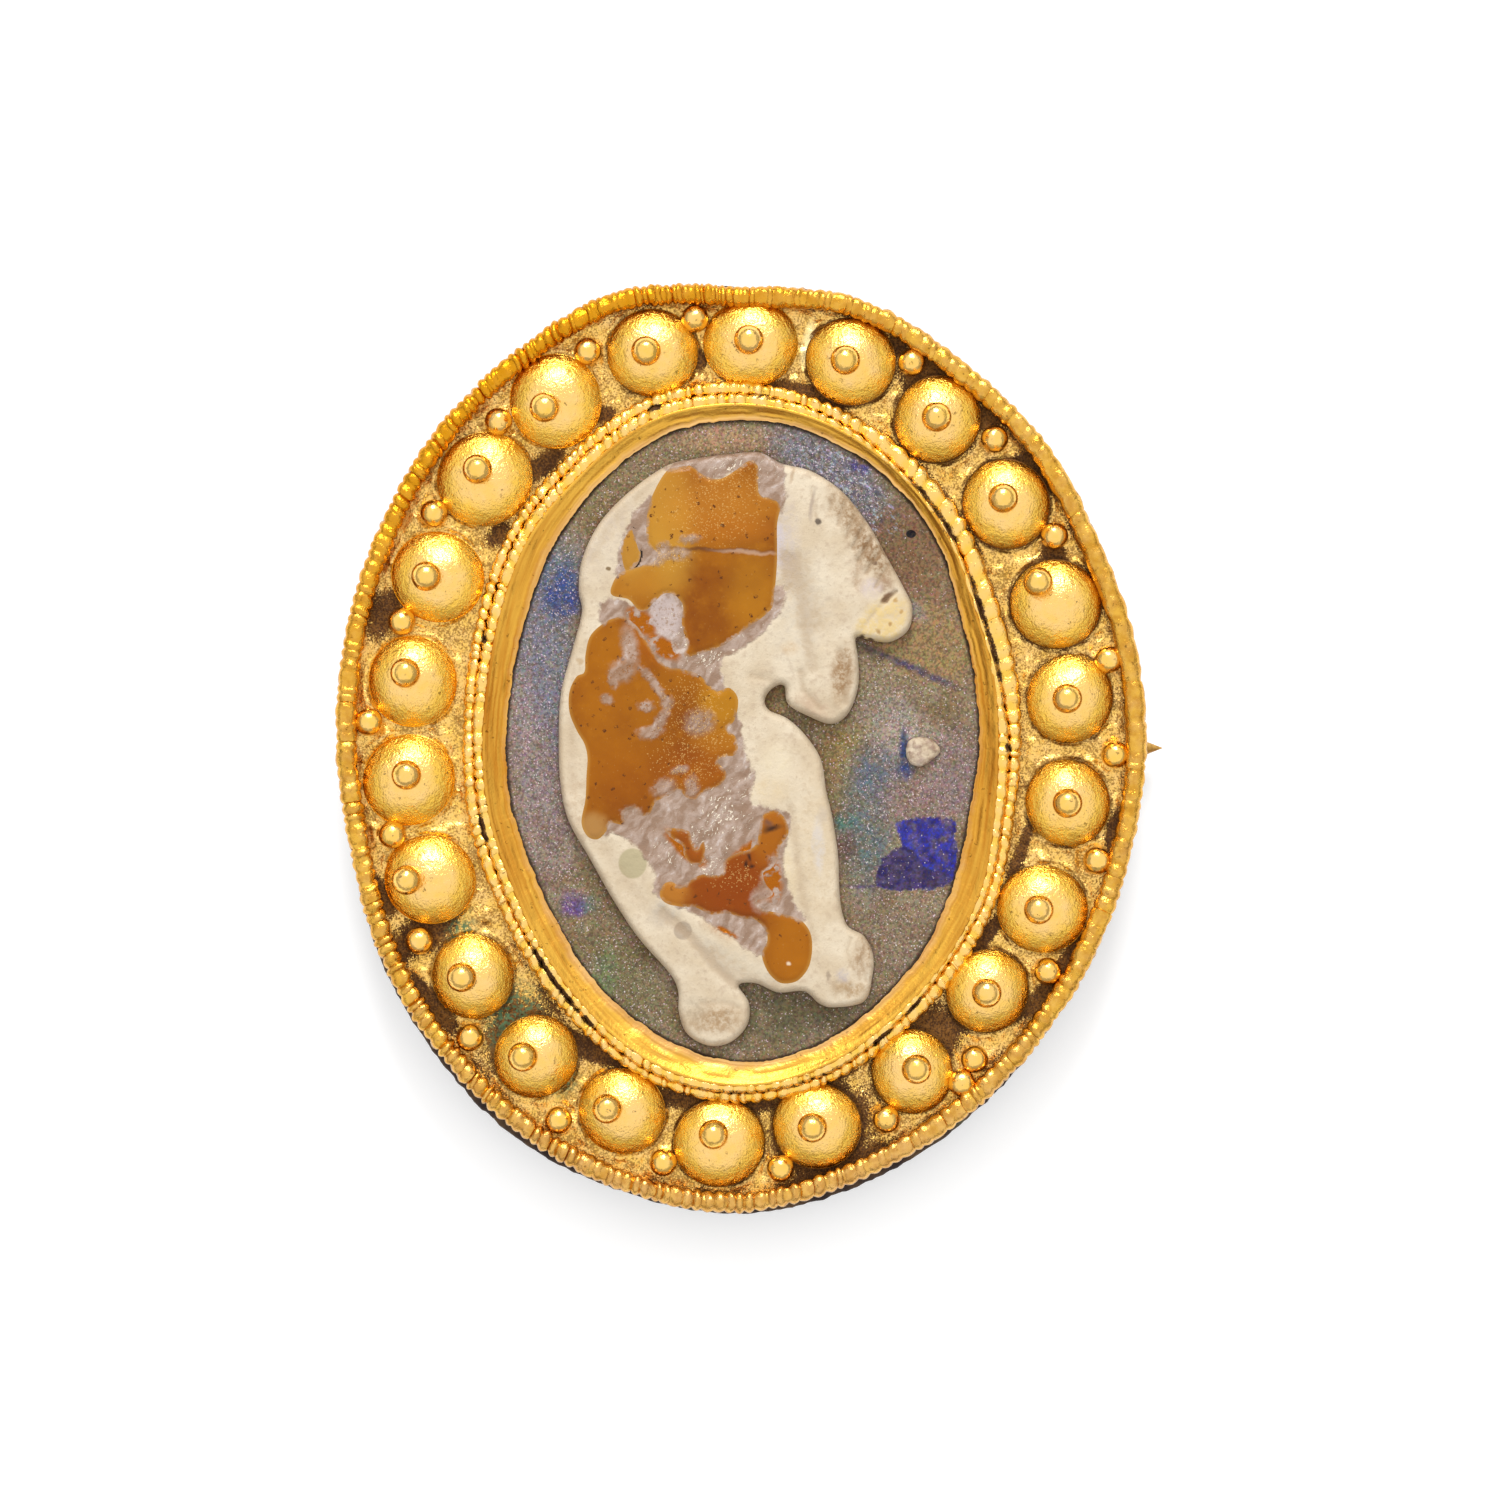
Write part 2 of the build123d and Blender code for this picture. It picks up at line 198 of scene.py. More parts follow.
# The hand-made ovals, at each angle: the rim and the window as shares of true ellipses, the plate's
# edge outside the rim as a share of PLATE_STEP, the lip as a share of LIP_WIDTH
OVALS = np.array([
    # angle, rim, plate, lip, window
    (0, 1.012, -0.8, 0.94, 1.008),
    (15, 1.011, -1.0, 0.74, 1.014),
    (30, 1.000, -1.0, 0.66, 1.017),
    (45, 1.007, -0.6, 0.50, 1.050),
    (60, 1.001, -1.0, 0.40, 1.046),
    (75, 1.013, -0.4, 0.40, 1.030),
    (90, 0.994, 0.0, 0.42, 1.022),
    (105, 1.029, -1.0, 0.82, 1.024),
    (120, 1.022, -1.0, 1.22, 1.014),
    (135, 1.022, -1.0, 1.14, 1.005),
    (150, 1.018, -1.0, 1.26, 0.989),
    (165, 1.014, -0.8, 1.10, 0.985),
    (180, 1.005, -0.4, 0.94, 0.987),
    (195, 0.996, -0.2, 0.90, 0.980),
    (210, 1.004, 0.1, 1.06, 0.953),
    (225, 1.000, 0.5, 1.06, 0.946),
    (240, 0.997, 1.0, 1.10, 0.952),
    (255, 0.998, 0.2, 0.90, 0.957),
    (270, 1.000, 0.3, 0.46, 0.978),
    (285, 0.977, 1.0, 0.58, 0.980),
    (300, 0.974, 0.5, 0.82, 0.986),
    (315, 0.979, 0.0, 0.94, 0.998),
    (330, 0.990, -0.8, 1.06, 0.993),
    (345, 1.001, -0.6, 0.98, 0.989),
])


def smooth_between(before, here, after, beyond, part):
    """A smooth curve through four values in a row, at a part of the way from the second on."""
    bend = 2 * before - 5 * here + 4 * after - beyond + part * (3 * (here - after) + beyond - before)
    return here + part / 2 * (after - before + part * bend)


def smooth_round(column, angles):
    """A column of a table with a row for each 15 degrees, on a smooth curve through its rows."""
    place = np.asarray(angles) % 360 / 360 * len(column)
    row = place.astype(int)
    return smooth_between(*(column[(row + k) % len(column)] for k in (-1, 0, 1, 2)), place - row)


def true_ellipse(angles, width, length):
    """Distance from the middle of a true ellipse to its edge, at each angle."""
    turn = np.radians(angles)
    return width * length / 2 / np.hypot(length * np.cos(turn), width * np.sin(turn))


def rim_radius(angles):
    """Outer edge of the rim wire."""
    return smooth_round(OVALS[:, 1], angles) * true_ellipse(angles, BODY_WIDTH, BODY_LENGTH)


def level(node, corner):
    """Height of a solid's lowest (0) or highest (1) point."""
    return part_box(node)[corner].z / MM


def lumps(x, y, size, seed):
    """Soft random heights from -1 to 1 over the face, with lumps about as large as a size."""
    heights = np.random.default_rng(seed).uniform(-1, 1, (256, 256))
    column, row = np.floor(x / size).astype(int), np.floor(y / size).astype(int)
    right, up = x / size - column, y / size - row
    right, up = right**2 * (3 - 2 * right), up**2 * (3 - 2 * up)
    corners = [[heights[(row + i) % 256, (column + j) % 256] for j in (0, 1)] for i in (0, 1)]
    low, high = (left + (other - left) * right for left, other in corners)
    return low + (high - low) * up


def ring(angles, radii, heights):
    """Points and faces round the ovals' middle, from a closed section at each angle."""
    turn = np.radians(np.broadcast_to(angles.reshape(len(angles), -1), radii.shape))
    x = MIDDLE[0] + radii * np.cos(turn)
    y = MIDDLE[1] + radii * np.sin(turn)
    here = np.arange(radii.size).reshape(radii.shape)
    onward = np.roll(here, -1, 0)
    faces = np.stack([here, onward, np.roll(onward, -1, 1), np.roll(here, -1, 1)], -1)
    return np.stack([x, y, heights], -1).reshape(-1, 3), [faces.reshape(-1, 4)]


def show(name, points, faces, finish, replaced, shades=None, crease=60):
    """Makes a mesh from points in mm, gives it its finish, and sets it in place of a solid."""
    mesh = bpy.data.meshes.new(name)
    mesh.vertices.add(len(points))
    mesh.vertices.foreach_set("co", (points * MM).ravel())
    corners = np.concatenate([np.full(len(f), f.shape[1]) for f in faces])
    mesh.loops.add(int(corners.sum()))
    mesh.loops.foreach_set("vertex_index", np.concatenate([f.ravel() for f in faces]))
    mesh.polygons.add(len(corners))
    mesh.polygons.foreach_set("loop_start", np.concatenate([[0], np.cumsum(corners)[:-1]]))
    mesh.update(calc_edges=True)
    mesh.validate()
    mesh.shade_smooth()
    mesh.set_sharp_from_angle(angle=radians(crease))
    for shade, values in (shades or {}).items():
        mesh.attributes.new(shade, "FLOAT", "POINT").data.foreach_set("value", np.ravel(values))
    mesh.materials.append(finish.material)
    made = bpy.data.objects.new(name, mesh)
    bpy.context.scene.collection.objects.link(made)
    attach(made, "root")
    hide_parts(replaced)
    return made


plate_angles = np.arange(RADIUS_STEPS / 2) / RADIUS_STEPS * 720
plate_bottom = level("back_plate", 0)
plate_top = level("back_plate", 1)
plate_edge = rim_radius(plate_angles) + smooth_round(OVALS[:, 2], plate_angles) * PLATE_STEP
plate_edge += 0.05 * lumps(plate_angles, 0 * plate_angles, 1.1, 3) - 0.05
plate_edge += 0.03 * lumps(plate_angles, 0 * plate_angles, 0.7, 4)

# Section of the plate at each angle, as a share of its edge and a height: up its edge, in over
# its top and out under its bottom
PLATE_ROUND = 0.12
plate_shares = np.linspace(0, 1, 28)
shares = np.concatenate([[1.0, 1.0], plate_shares[::-1], plate_shares])
radii = plate_edge[:, None] * shares
radii[:, 2] -= PLATE_ROUND
radii[:, -1] -= PLATE_ROUND
turn = np.radians(plate_angles)[:, None]
hammer = lumps(radii * np.cos(turn), radii * np.sin(turn), 1.6, 5)
heights = np.empty_like(radii)
heights[:, 0] = plate_bottom + PLATE_ROUND
heights[:, 1] = plate_top - PLATE_ROUND
under = 2 + len(plate_shares)
heights[:, 2:under] = plate_top
heights[:, under:] = plate_bottom + 0.05 + 0.05 * hammer[:, under:]
plate_points, plate_faces = ring(plate_angles, radii, heights)

plate_finish = Finish("dark_bronze", {"Metallic": 0.7})
stain = plate_finish.noise(1.3, 5.0)
fine = plate_finish.noise(0.15, 3.0, 1.0)
plate_brown = plate_finish.mix(
    plate_finish.step(stain, 0.35, 0.65), screen(62, 50, 48), screen(104, 80, 56)
)
plate_green = plate_finish.step(plate_finish.noise(2.6, 4.0, 7.0), 0.58, 0.68)
plate_finish.set(
    Base_Color=plate_finish.mix(plate_green * 0.6, plate_brown, screen(84, 112, 92)),
    Roughness=0.45 + fine * 0.4,
    Normal=plate_finish.bump(fine + stain, 0.03),
)
show("back_plate", plate_points, plate_faces, plate_finish, "back_plate")

# Gold sheet
# The base of the mount: thin gold sheet with the window cut out, on which everything is soldered.
# It shows only in the corners between the bosses, crumpled, with soil in it and some verdigris.
# It has painted shade where it meets the bosses and the wires, and painted highlights on three creases.

WINDOW_WIDTH = 23.7
WINDOW_LENGTH = 32.1
LIP_WIDTH = 1.25
RIM_WIRE_D = 1.2
WIRES_WIDTH = 1.25
SHEET_T = 0.45
SHEET_INSET = 0.35
SOLDER = 0.08
BOSS_D = 4.5

# Each boss: its angle, its place across the band from the collar's wires to the rim wire,
# its size as a share of BOSS_D, how far its granule sits off its middle, in its radii, how much
# soil lies at its foot, and how much wider than long it is pressed
BOSSES = [
    # angle, across, size, side, up, soil, wide
    (8.5, 0.47, 0.98, -0.09, 0.00, 0.6, 1.00),
    (24.5, 0.55, 1.02, -0.40, 0.47, 0.9, 1.00),
    (42.5, 0.49, 1.00, -0.09, 0.11, 1.0, 1.00),
    (59.0, 0.53, 0.98, -0.04, 0.02, 1.0, 1.00),
    (74.0, 0.54, 1.00, -0.13, 0.00, 0.8, 1.00),
    (88.5, 0.55, 0.96, -0.04, 0.04, 0.5, 1.12),
    (102.5, 0.48, 1.00, -0.13, 0.00, 0.6, 1.00),
    (118.0, 0.48, 1.04, -0.22, -0.16, 0.3, 1.00),
    (133.5, 0.48, 1.06, -0.13, 0.18, 0.5, 1.00),
    (150.5, 0.45, 1.02, -0.22, 0.00, 0.1, 1.00),
    (168.5, 0.47, 1.00, -0.13, 0.18, 0.1, 1.00),
    (185.5, 0.51, 1.02, -0.02, 0.11, 0.1, 1.00),
    (203.0, 0.49, 1.00, -0.49, 0.00, 0.3, 1.00),
    (220.5, 0.49, 0.93, -0.24, 0.00, 0.6, 1.00),
    (236.5, 0.48, 0.93, -0.29, 0.02, 0.6, 1.00),
    (252.0, 0.43, 0.96, -0.33, 0.09, 0.5, 1.00),
    (267.0, 0.50, 0.98, -0.13, 0.22, 0.7, 1.06),
    (281.5, 0.47, 0.98, -0.11, 0.00, 0.8, 1.00),
    (298.0, 0.40, 0.93, 0.09, 0.09, 0.7, 1.00),
    (315.5, 0.37, 0.93, -0.04, -0.02, 0.7, 1.00),
    (332.0, 0.49, 1.00, -0.11, 0.00, 0.6, 1.00),
    (350.5, 0.47, 0.96, -0.04, 0.00, 0.6, 1.00),
]


def window_radius(angles):
    """Inner edge of the collar's lip."""
    return smooth_round(OVALS[:, 4], angles) * true_ellipse(angles, WINDOW_WIDTH, WINDOW_LENGTH)


def collar_radius(angles):
    """Outer face of the collar."""
    return window_radius(angles) + smooth_round(OVALS[:, 3], angles) * LIP_WIDTH


def across_band(angle, share):
    """The point at a share of the way from the collar's wires to the rim wire."""
    rows = np.append(OVALS[:, 0], 360)
    inner = np.interp(angle, rows, collar_radius(rows) + WIRES_WIDTH)
    outer = np.interp(angle, rows, rim_radius(rows) - RIM_WIRE_D)
    radius = inner + share * (outer - inner)
    return MIDDLE[0] + radius * cos(radians(angle)), MIDDLE[1] + radius * sin(radians(angle))


def cells(finish, size, seed=0.0):
    """A random colour for each of many flakes of a size."""
    sockets = {"Vector": finish.place, "W": seed, "Scale": 1 / size}
    return finish.node("TexVoronoi", {"voronoi_dimensions": "4D"}, sockets, output="Color")


def channel(finish, colour, name):
    """One of a colour's three parts."""
    return finish.node("SeparateColor", {}, {"Color": colour}, output=name)


GOLD = (0.88, 0.57, 0.22)
GOLD_DEEP = (0.88, 0.53, 0.08)
# Dark colours of soil, also used as painted shade in crevices and grooves
DARK_SOIL_AND_SHADE = screen(76, 46, 20)
PALE_SOIL_AND_SHADE = screen(118, 86, 58)


def gold(name, roughness, soil, rubbed, grain=0.012, dented=0.03):
    """Worn gold with fine grain: paler with wear and painted light, dark with soil and painted shade."""
    finish = Finish(name, {"Metallic": 1.0, "Specular IOR Level": 0.15})
    soft = finish.noise(0.8, 3.0, 1.0)
    dents = finish.noise(0.3, 3.0, 3.0)
    fine = finish.noise(0.1, 2.0, 2.0)
    # Paleness is wear, and on the collar also a painted highlight near the lip and painted shade on its flanks
    finish.rub = rubbed(finish) + (soft - 0.5) * 1.2 + (dents - 0.5) * 0.8
    # The soil mask is soil, and on the sheet and the wires also painted shade in crevices and grooves
    finish.dirt = finish.step(soil(finish) + (fine - 0.5) * 0.9 + (soft - 0.5) * 0.7, 0.4, 0.62)
    finish.colour = finish.mix(finish.rub.kept(), GOLD_DEEP, GOLD)
    pits = finish.step(channel(finish, cells(finish, 0.16, 12.0), "Blue"), 0.975, 0.985)
    finish.colour = finish.mix(pits * finish.step(fine, 0.45, 0.6) * 0.6, finish.colour, DARK_SOIL_AND_SHADE)
    finish.colour = finish.mix(
        finish.dirt, finish.colour, finish.mix(finish.step(fine, 0.5, 0.7) * 0.7, DARK_SOIL_AND_SHADE, PALE_SOIL_AND_SHADE)
    )
    finish.set(
        Base_Color=finish.colour,
        Metallic=1 - finish.dirt * 0.9,
        Roughness=roughness + (fine - 0.5) * 0.3 + finish.dirt * 0.4,
        Normal=finish.bump(fine, grain, finish.bump(dents, dented, finish.bump(soft, 0.03))),
    )
    return finish


sheet_bottom = level("gold_mount", 0)
sheet_top = sheet_bottom + SHEET_T
boss_places = [
    (*across_band(angle, across), size * BOSS_D / 2) for angle, across, size, *_ in BOSSES
]

# Soil in the corners between the bosses
SOIL_POCKETS = [
    # angle, distance from the middle, half its angle, half its width
    (24.0, 19.5, 2.0, 0.5),
    (32.0, 18.5, 2.0, 0.6),
    (43.5, 20.2, 3.0, 0.4),
    (53.0, 20.6, 1.5, 0.5),
    (63.0, 20.6, 3.5, 0.9),
    (69.0, 21.5, 1.5, 0.4),
    (81.0, 18.0, 7.0, 0.5),
    (96.0, 19.5, 1.2, 0.5),
    (112.0, 18.0, 1.5, 0.4),
    (124.5, 17.3, 3.5, 0.5),
    (139.0, 16.2, 2.5, 0.4),
    (159.5, 19.0, 3.8, 0.8),
    (202.5, 19.3, 3.0, 0.4),
    (210.5, 18.3, 3.0, 1.8),
    (220.0, 20.0, 5.5, 0.4),
    (232.0, 18.0, 4.5, 2.0),
    (244.0, 16.9, 6.5, 0.5),
    (266.0, 17.9, 12.0, 0.5),
    (282.5, 19.5, 7.5, 2.6),
    (304.5, 17.5, 5.0, 1.1),
    (323.5, 19.5, 7.0, 0.4),
    (323.5, 15.6, 7.0, 0.3),
    (340.0, 15.0, 5.5, 0.3),
    (347.5, 19.1, 2.8, 0.3),
]

sheet_angles = np.arange(RADIUS_STEPS) / RADIUS_STEPS * 360
sheet_in = collar_radius(sheet_angles)[:, None] - SOLDER
sheet_out = rim_radius(sheet_angles)[:, None] - SHEET_INSET
across = np.linspace(0, 1, 52)
top_radii = sheet_out + (sheet_in - sheet_out) * across
turn = np.radians(sheet_angles)[:, None]
x = MIDDLE[0] + top_radii * np.cos(turn)
y = MIDDLE[1] + top_radii * np.sin(turn)
gap_to_boss = np.min([np.hypot(x - bx, y - by) - r for bx, by, r in boss_places], 0)
gap_to_wire = np.minimum(
    top_radii - collar_radius(sheet_angles)[:, None] - WIRES_WIDTH,
    rim_radius(sheet_angles)[:, None] - RIM_WIRE_D - top_radii,
)
# Closeness to the bosses and wires: it flattens the crumple there, and darkens the sheet with soil and painted shade
crevice = np.exp(-np.clip(np.minimum(gap_to_boss, gap_to_wire), 0, None) / 0.16)
boss_soil = np.array([(boss[0], boss[5]) for boss in BOSSES])
soil_and_shade_near_parts = crevice * np.interp(sheet_angles, *boss_soil.T, period=360)[:, None]
crumple = 0.12 * lumps(x, y, 0.7, 11) + 0.08 * lumps(x, y, 0.33, 12)
crumple += 0.08 * np.exp(-(((gap_to_boss - 0.2) / 0.09) ** 2))
pockets = np.zeros_like(x)
for angle, distance, half_angle, half_width in SOIL_POCKETS:
    round_it = (sheet_angles[:, None] - angle + 180) % 360 - 180
    far = np.hypot(round_it / half_angle, (np.hypot(x - MIDDLE[0], y - MIDDLE[1]) - distance) / half_width)
    pockets = np.maximum(pockets, np.clip(1.5 - far, 0, 1))
sheet_radii = np.concatenate([top_radii, sheet_in, sheet_out], 1)
sheet_heights = np.concatenate([
    sheet_top + crumple * (1 - crevice), np.full_like(sheet_in, sheet_bottom),
    np.full_like(sheet_in, sheet_bottom),
], 1)
crevice_soil_and_shade = np.concatenate([soil_and_shade_near_parts, 1 + 0 * sheet_in, 0 * sheet_in], 1)
pockets = np.concatenate([pockets, 0 * sheet_in, 0 * sheet_in], 1)
sheet_points, sheet_faces = ring(sheet_angles, sheet_radii, sheet_heights)

# Dark with the soil in its pockets, with soil and painted shade near the bosses and wires, and with specks
sheet_finish = gold(
    "gold_sheet", 0.32,
    lambda f: f.shade("pocket") * 0.9 + f.shade("crevice") * 0.5 + (f.noise(0.06, 1.0, 8.0) - 0.5) * 1.2 + 0.08,
    lambda f: 0.5,
    0.03,
)
grains = sheet_finish.noise(0.08, 2.0, 13.0) + (sheet_finish.noise(0.9, 2.0, 14.0) - 0.5) * 0.4
sheet_colour = sheet_finish.mix(
    sheet_finish.step(grains, 0.57, 0.4) * 0.75, sheet_finish.colour, screen(140, 94, 40)
)
# Creases of the sheet that catch the light, painted pale yellow as highlights
CREASE_HIGHLIGHTS_PX = [
    # x, y, half width, half height, turn
    (808, 343, 5, 20, -12),
    (1005, 520, 5, 12, 20),
    (512, 815, 4, 14, 30),
]
VERDIGRIS_PX = [
    # x, y, half width, half height
    (512, 1018, 26, 34),
    (560, 1080, 16, 14),
    (462, 930, 12, 18),
]


def photo(x, y):
    """A pixel of the photograph as a place on the brooch."""
    return (x - 750) * 0.05, (748 - y) * 0.05


def patch(finish, x, y, half_width, half_height, turn=0.0, soft=0.35, place=None):
    """1 inside an ellipse with soft edges, given in pixels of the photograph, and 0 outside it."""
    sockets = {
        "Vector": place or finish.place,
        "Location": (*photo(x, y), 0.0),
        "Rotation": (0.0, 0.0, radians(turn)),
        "Scale": (half_width * 0.05, half_height * 0.05, 1000.0),
    }
    inside = finish.node("Mapping", {"vector_type": "TEXTURE"}, sockets)
    far = finish.node("VectorMath", {"operation": "LENGTH"}, {0: inside}, output="Value")
    return finish.step(far, 1 + soft, 1 - soft)


# Painted highlights on the creases
for crease in CREASE_HIGHLIGHTS_PX:
    sheet_colour = sheet_finish.mix(
        patch(sheet_finish, *crease, soft=0.7) * 0.9, sheet_colour, (1.0, 0.84, 0.42)
    )
green = 0.0
for verdigris in VERDIGRIS_PX:
    green = patch(sheet_finish, *verdigris, soft=0.8, place=sheet_finish.warped(0.5, 0.5)) + green
green = green * sheet_finish.step(sheet_finish.noise(0.2, 3.0, 5.0), 0.4, 0.6)
sheet_finish.set(Base_Color=sheet_finish.mix(green.kept() * 0.9, sheet_colour, screen(84, 122, 88)))
show(
    "gold_sheet", sheet_points, sheet_faces, sheet_finish, "gold_mount",
    {"pocket": pockets, "crevice": crevice_soil_and_shade},
)

# Rim wire
# A thick gold wire, rolled under a grooved blade into beads and soldered round the sheet's edge.
# Its beads are deep and fine at the top left, and worn nearly flat at the right.

GROOVE = 0.25
RIM_WORN = 0.7
SECTION_POINTS = 20

# The beading at each 15 degrees: how long a bead is, how deep its groove is as a share of the
# wire's deepest, and the same for the collar's two wires
BEADING = np.array([
    # rim bead, rim groove, collar bead, collar groove
    (0.70, 0.50, 0.60, 0.75),
    (1.15, 0.40, 0.90, 0.60),
    (1.15, 0.40, 1.05, 0.55),
    (0.70, 0.45, 1.00, 0.60),
    (0.60, 0.55, 0.85, 0.70),
    (0.52, 0.60, 0.60, 0.80),
    (0.36, 0.60, 0.58, 0.85),
    (0.38, 0.75, 0.56, 0.85),
    (0.46, 0.95, 0.50, 0.85),
    (0.50, 0.85, 0.52, 0.80),
    (0.52, 0.80, 0.56, 0.80),
    (0.56, 0.65, 0.56, 0.80),
    (0.60, 0.65, 0.60, 0.80),
    (0.58, 0.80, 0.60, 0.75),
    (0.52, 0.95, 0.52, 0.70),
    (0.52, 1.00, 0.56, 0.80),
    (0.52, 1.00, 0.58, 0.85),
    (0.50, 1.00, 0.58, 0.85),
    (0.55, 1.00, 0.58, 0.90),
    (0.60, 0.90, 0.56, 0.85),
    (0.62, 0.75, 0.54, 0.75),
    (0.54, 0.70, 0.50, 0.60),
    (0.62, 0.50, 0.55, 0.60),
    (0.62, 0.50, 0.58, 0.70),
])


def beaded_wire(line, width, height, thick, bead, groove, seed):
    """A beaded wire round the middle: points, faces, and how deep in a groove each point is."""
    rough = np.random.default_rng(seed)
    fine = np.linspace(0, 360, 7201)
    count = np.cumsum(line(fine) * radians(fine[1]) / smooth_round(bead, fine))
    beads = int(round(count[-1]))
    count *= beads / count[-1]
    start = rough.normal(0, 0.14, beads)
    within = np.array([0.0, 0.06, 0.14, 0.3, 0.5, 0.7, 0.86, 0.94])
    number = np.arange(beads)[:, None]
    stations = number + within + start[:, None] * (1 - within) + np.roll(start, -1)[:, None] * within
    angles = np.interp(stations.ravel() % beads, count, fine)[:, None]
    depth = smooth_round(groove, angles[:, 0]) * np.repeat(rough.uniform(0.4, 1.25, beads), len(within))
    swell = np.sin(pi * np.tile(within, beads)) ** (1.3 - 0.4 * np.clip(depth, 0, 1))
    size = np.repeat(rough.uniform(0.91, 0.98, beads), len(within))
    cut = (1 - swell) * depth
    turn = np.linspace(0, 2 * pi, SECTION_POINTS, endpoint=False)
    slant = np.repeat(rough.normal(0, 0.12, beads), len(within))[:, None]
    share = (size - 2 * GROOVE / RIM_WIRE_D * cut)[:, None] * np.ones(SECTION_POINTS)
    share *= 1 - 0.1 * np.clip(np.sin(turn), 0, 1) ** 6
    arc = np.radians(angles) * line(angles)
    share += 0.09 * (lumps(arc, turn * thick / 2, 0.5, seed) - 0.3)
    angles = angles + slant * np.sin(turn) * np.degrees(1 / line(angles))
    radii = line(angles) + width(angles) / 2 * share * np.cos(turn)
    heights = height + thick / 2 * share * np.sin(turn)
    points, faces = ring(angles, radii, heights)
    return points, faces, np.broadcast_to(cut[:, None], radii.shape)


rim_points, rim_faces, rim_cut = beaded_wire(
    lambda angles: rim_radius(angles) - RIM_WIRE_D / 2,
    lambda angles: RIM_WIRE_D,
    sheet_top + RIM_WIRE_D / 2 - SOLDER,
    RIM_WIRE_D,
    BEADING[:, 0],
    BEADING[:, 1] * RIM_WORN,
    21,
)
# In its grooves the rim is dark with soil and painted shade, and a deeper gold as painted shade
rim_finish = gold(
    "rim_gold", 0.25,
    lambda f: f.shade("cut") * 0.3,
    lambda f: patch(f, 740, 1180, 330, 150, 0, 0.8) * 0.45 - f.shade("cut") * 0.4 + 0.2,
    0.03,
)
rim_colour = rim_finish.mix(
    rim_finish.step(rim_finish.noise(0.4, 4.0, 17.0), 0.3, 0.7) * 0.5 + 0.4, rim_finish.colour,
    screen(222, 196, 165), "MULTIPLY",
)
rim_deep = patch(rim_finish, 500, 340, 330, 240, 42, 0.7)
rim_finish.set(Base_Color=rim_finish.mix(rim_deep * 0.8, rim_colour, (0.62, 0.25, 0.0)))
show("rim_wire", rim_points, rim_faces, rim_finish, "gold_mount", {"cut": rim_cut})

# Collar
# A strip of gold on edge, soldered to the sheet, whose top is pressed inwards over the glass.
# It slopes down to the glass in a hollow curve and ends in a thin torn lip.
# Its slope is painted paler towards the lip as a highlight, and darker on the left and right as shade.

LIP_EDGE = 0.15
LIP_RISE = 0.35
OVERLAP = 0.25

# Where the collar's two wires lie at each 15 degrees, in mm outside the window
WIRES = np.array([
    # outer edge, where the two meet, inner edge
    (2.10, 1.45, 0.83),
    (2.14, 1.12, 0.85),
    (2.05, 0.95, 0.70),
    (1.83, 0.70, 0.52),
    (1.70, 0.66, 0.52),
    (1.68, 0.98, 0.60),
    (1.88, 1.22, 0.68),
    (2.10, 1.45, 0.83),
    (2.18, 1.55, 0.90),
    (2.45, 1.83, 1.22),
    (2.45, 1.83, 1.20),
    (2.26, 1.70, 1.08),
    (2.14, 1.58, 1.05),
    (2.26, 1.58, 1.08),
    (2.32, 1.70, 1.15),
    (2.35, 1.65, 1.20),
    (2.26, 1.58, 1.15),
    (2.30, 1.82, 1.30),
    (2.05, 1.45, 1.07),
    (1.99, 1.48, 1.00),
    (2.00, 1.35, 1.00),
    (2.20, 1.39, 1.14),
    (2.39, 1.76, 1.33),
    (2.26, 1.64, 1.14),
])

glass_top = level("glass_ground", 1)
lip_bottom = glass_top + 0.05
collar_top = lip_bottom + LIP_EDGE + LIP_RISE
collar_angles = np.arange(RADIUS_STEPS) / RADIUS_STEPS * 360
lip_in = window_radius(collar_angles)
lip_in += 0.05 * lumps(collar_angles, 0 * lip_in, 2.2, 31) + 0.025 * lumps(collar_angles, 0 * lip_in, 0.6, 32)
lip_out = window_radius(collar_angles) + smooth_round(WIRES[:, 2], collar_angles) + 0.15
slope = np.linspace(1, 0, 20)
turn = np.radians(collar_angles)[:, None]
slope_radii = lip_in[:, None] + (lip_out - LIP_EDGE - lip_in)[:, None] * slope
dents = lumps(slope_radii * np.cos(turn), slope_radii * np.sin(turn), 0.8, 33)
dents += 1.2 * lumps(collar_angles[:, None] + 0 * slope, 25 * slope, 5.0, 34)
slope_heights = lip_bottom + LIP_EDGE * 0.7 + LIP_RISE * 1.1 * slope**1.6 + 0.035 * dents * np.sin(pi * slope)
collar_radii = np.concatenate([
    lip_out[:, None] + np.array([0.0, 0.0, -0.06]),
    slope_radii,
    lip_in[:, None] + np.array([0.02, OVERLAP, OVERLAP]),
], 1)
collar_heights = np.concatenate([
    np.broadcast_to([sheet_bottom, collar_top - 0.06, collar_top], (len(lip_in), 3)),
    np.clip(slope_heights, None, collar_top),
    np.broadcast_to([lip_bottom, lip_bottom, sheet_bottom], (len(lip_in), 3)),
], 1)
lip_share = np.concatenate([np.zeros((len(lip_in), 3)), np.tile(1 - slope, (len(lip_in), 1)),
                            np.ones((len(lip_in), 3))], 1)
collar_points, collar_faces = ring(collar_angles, collar_radii, collar_heights)
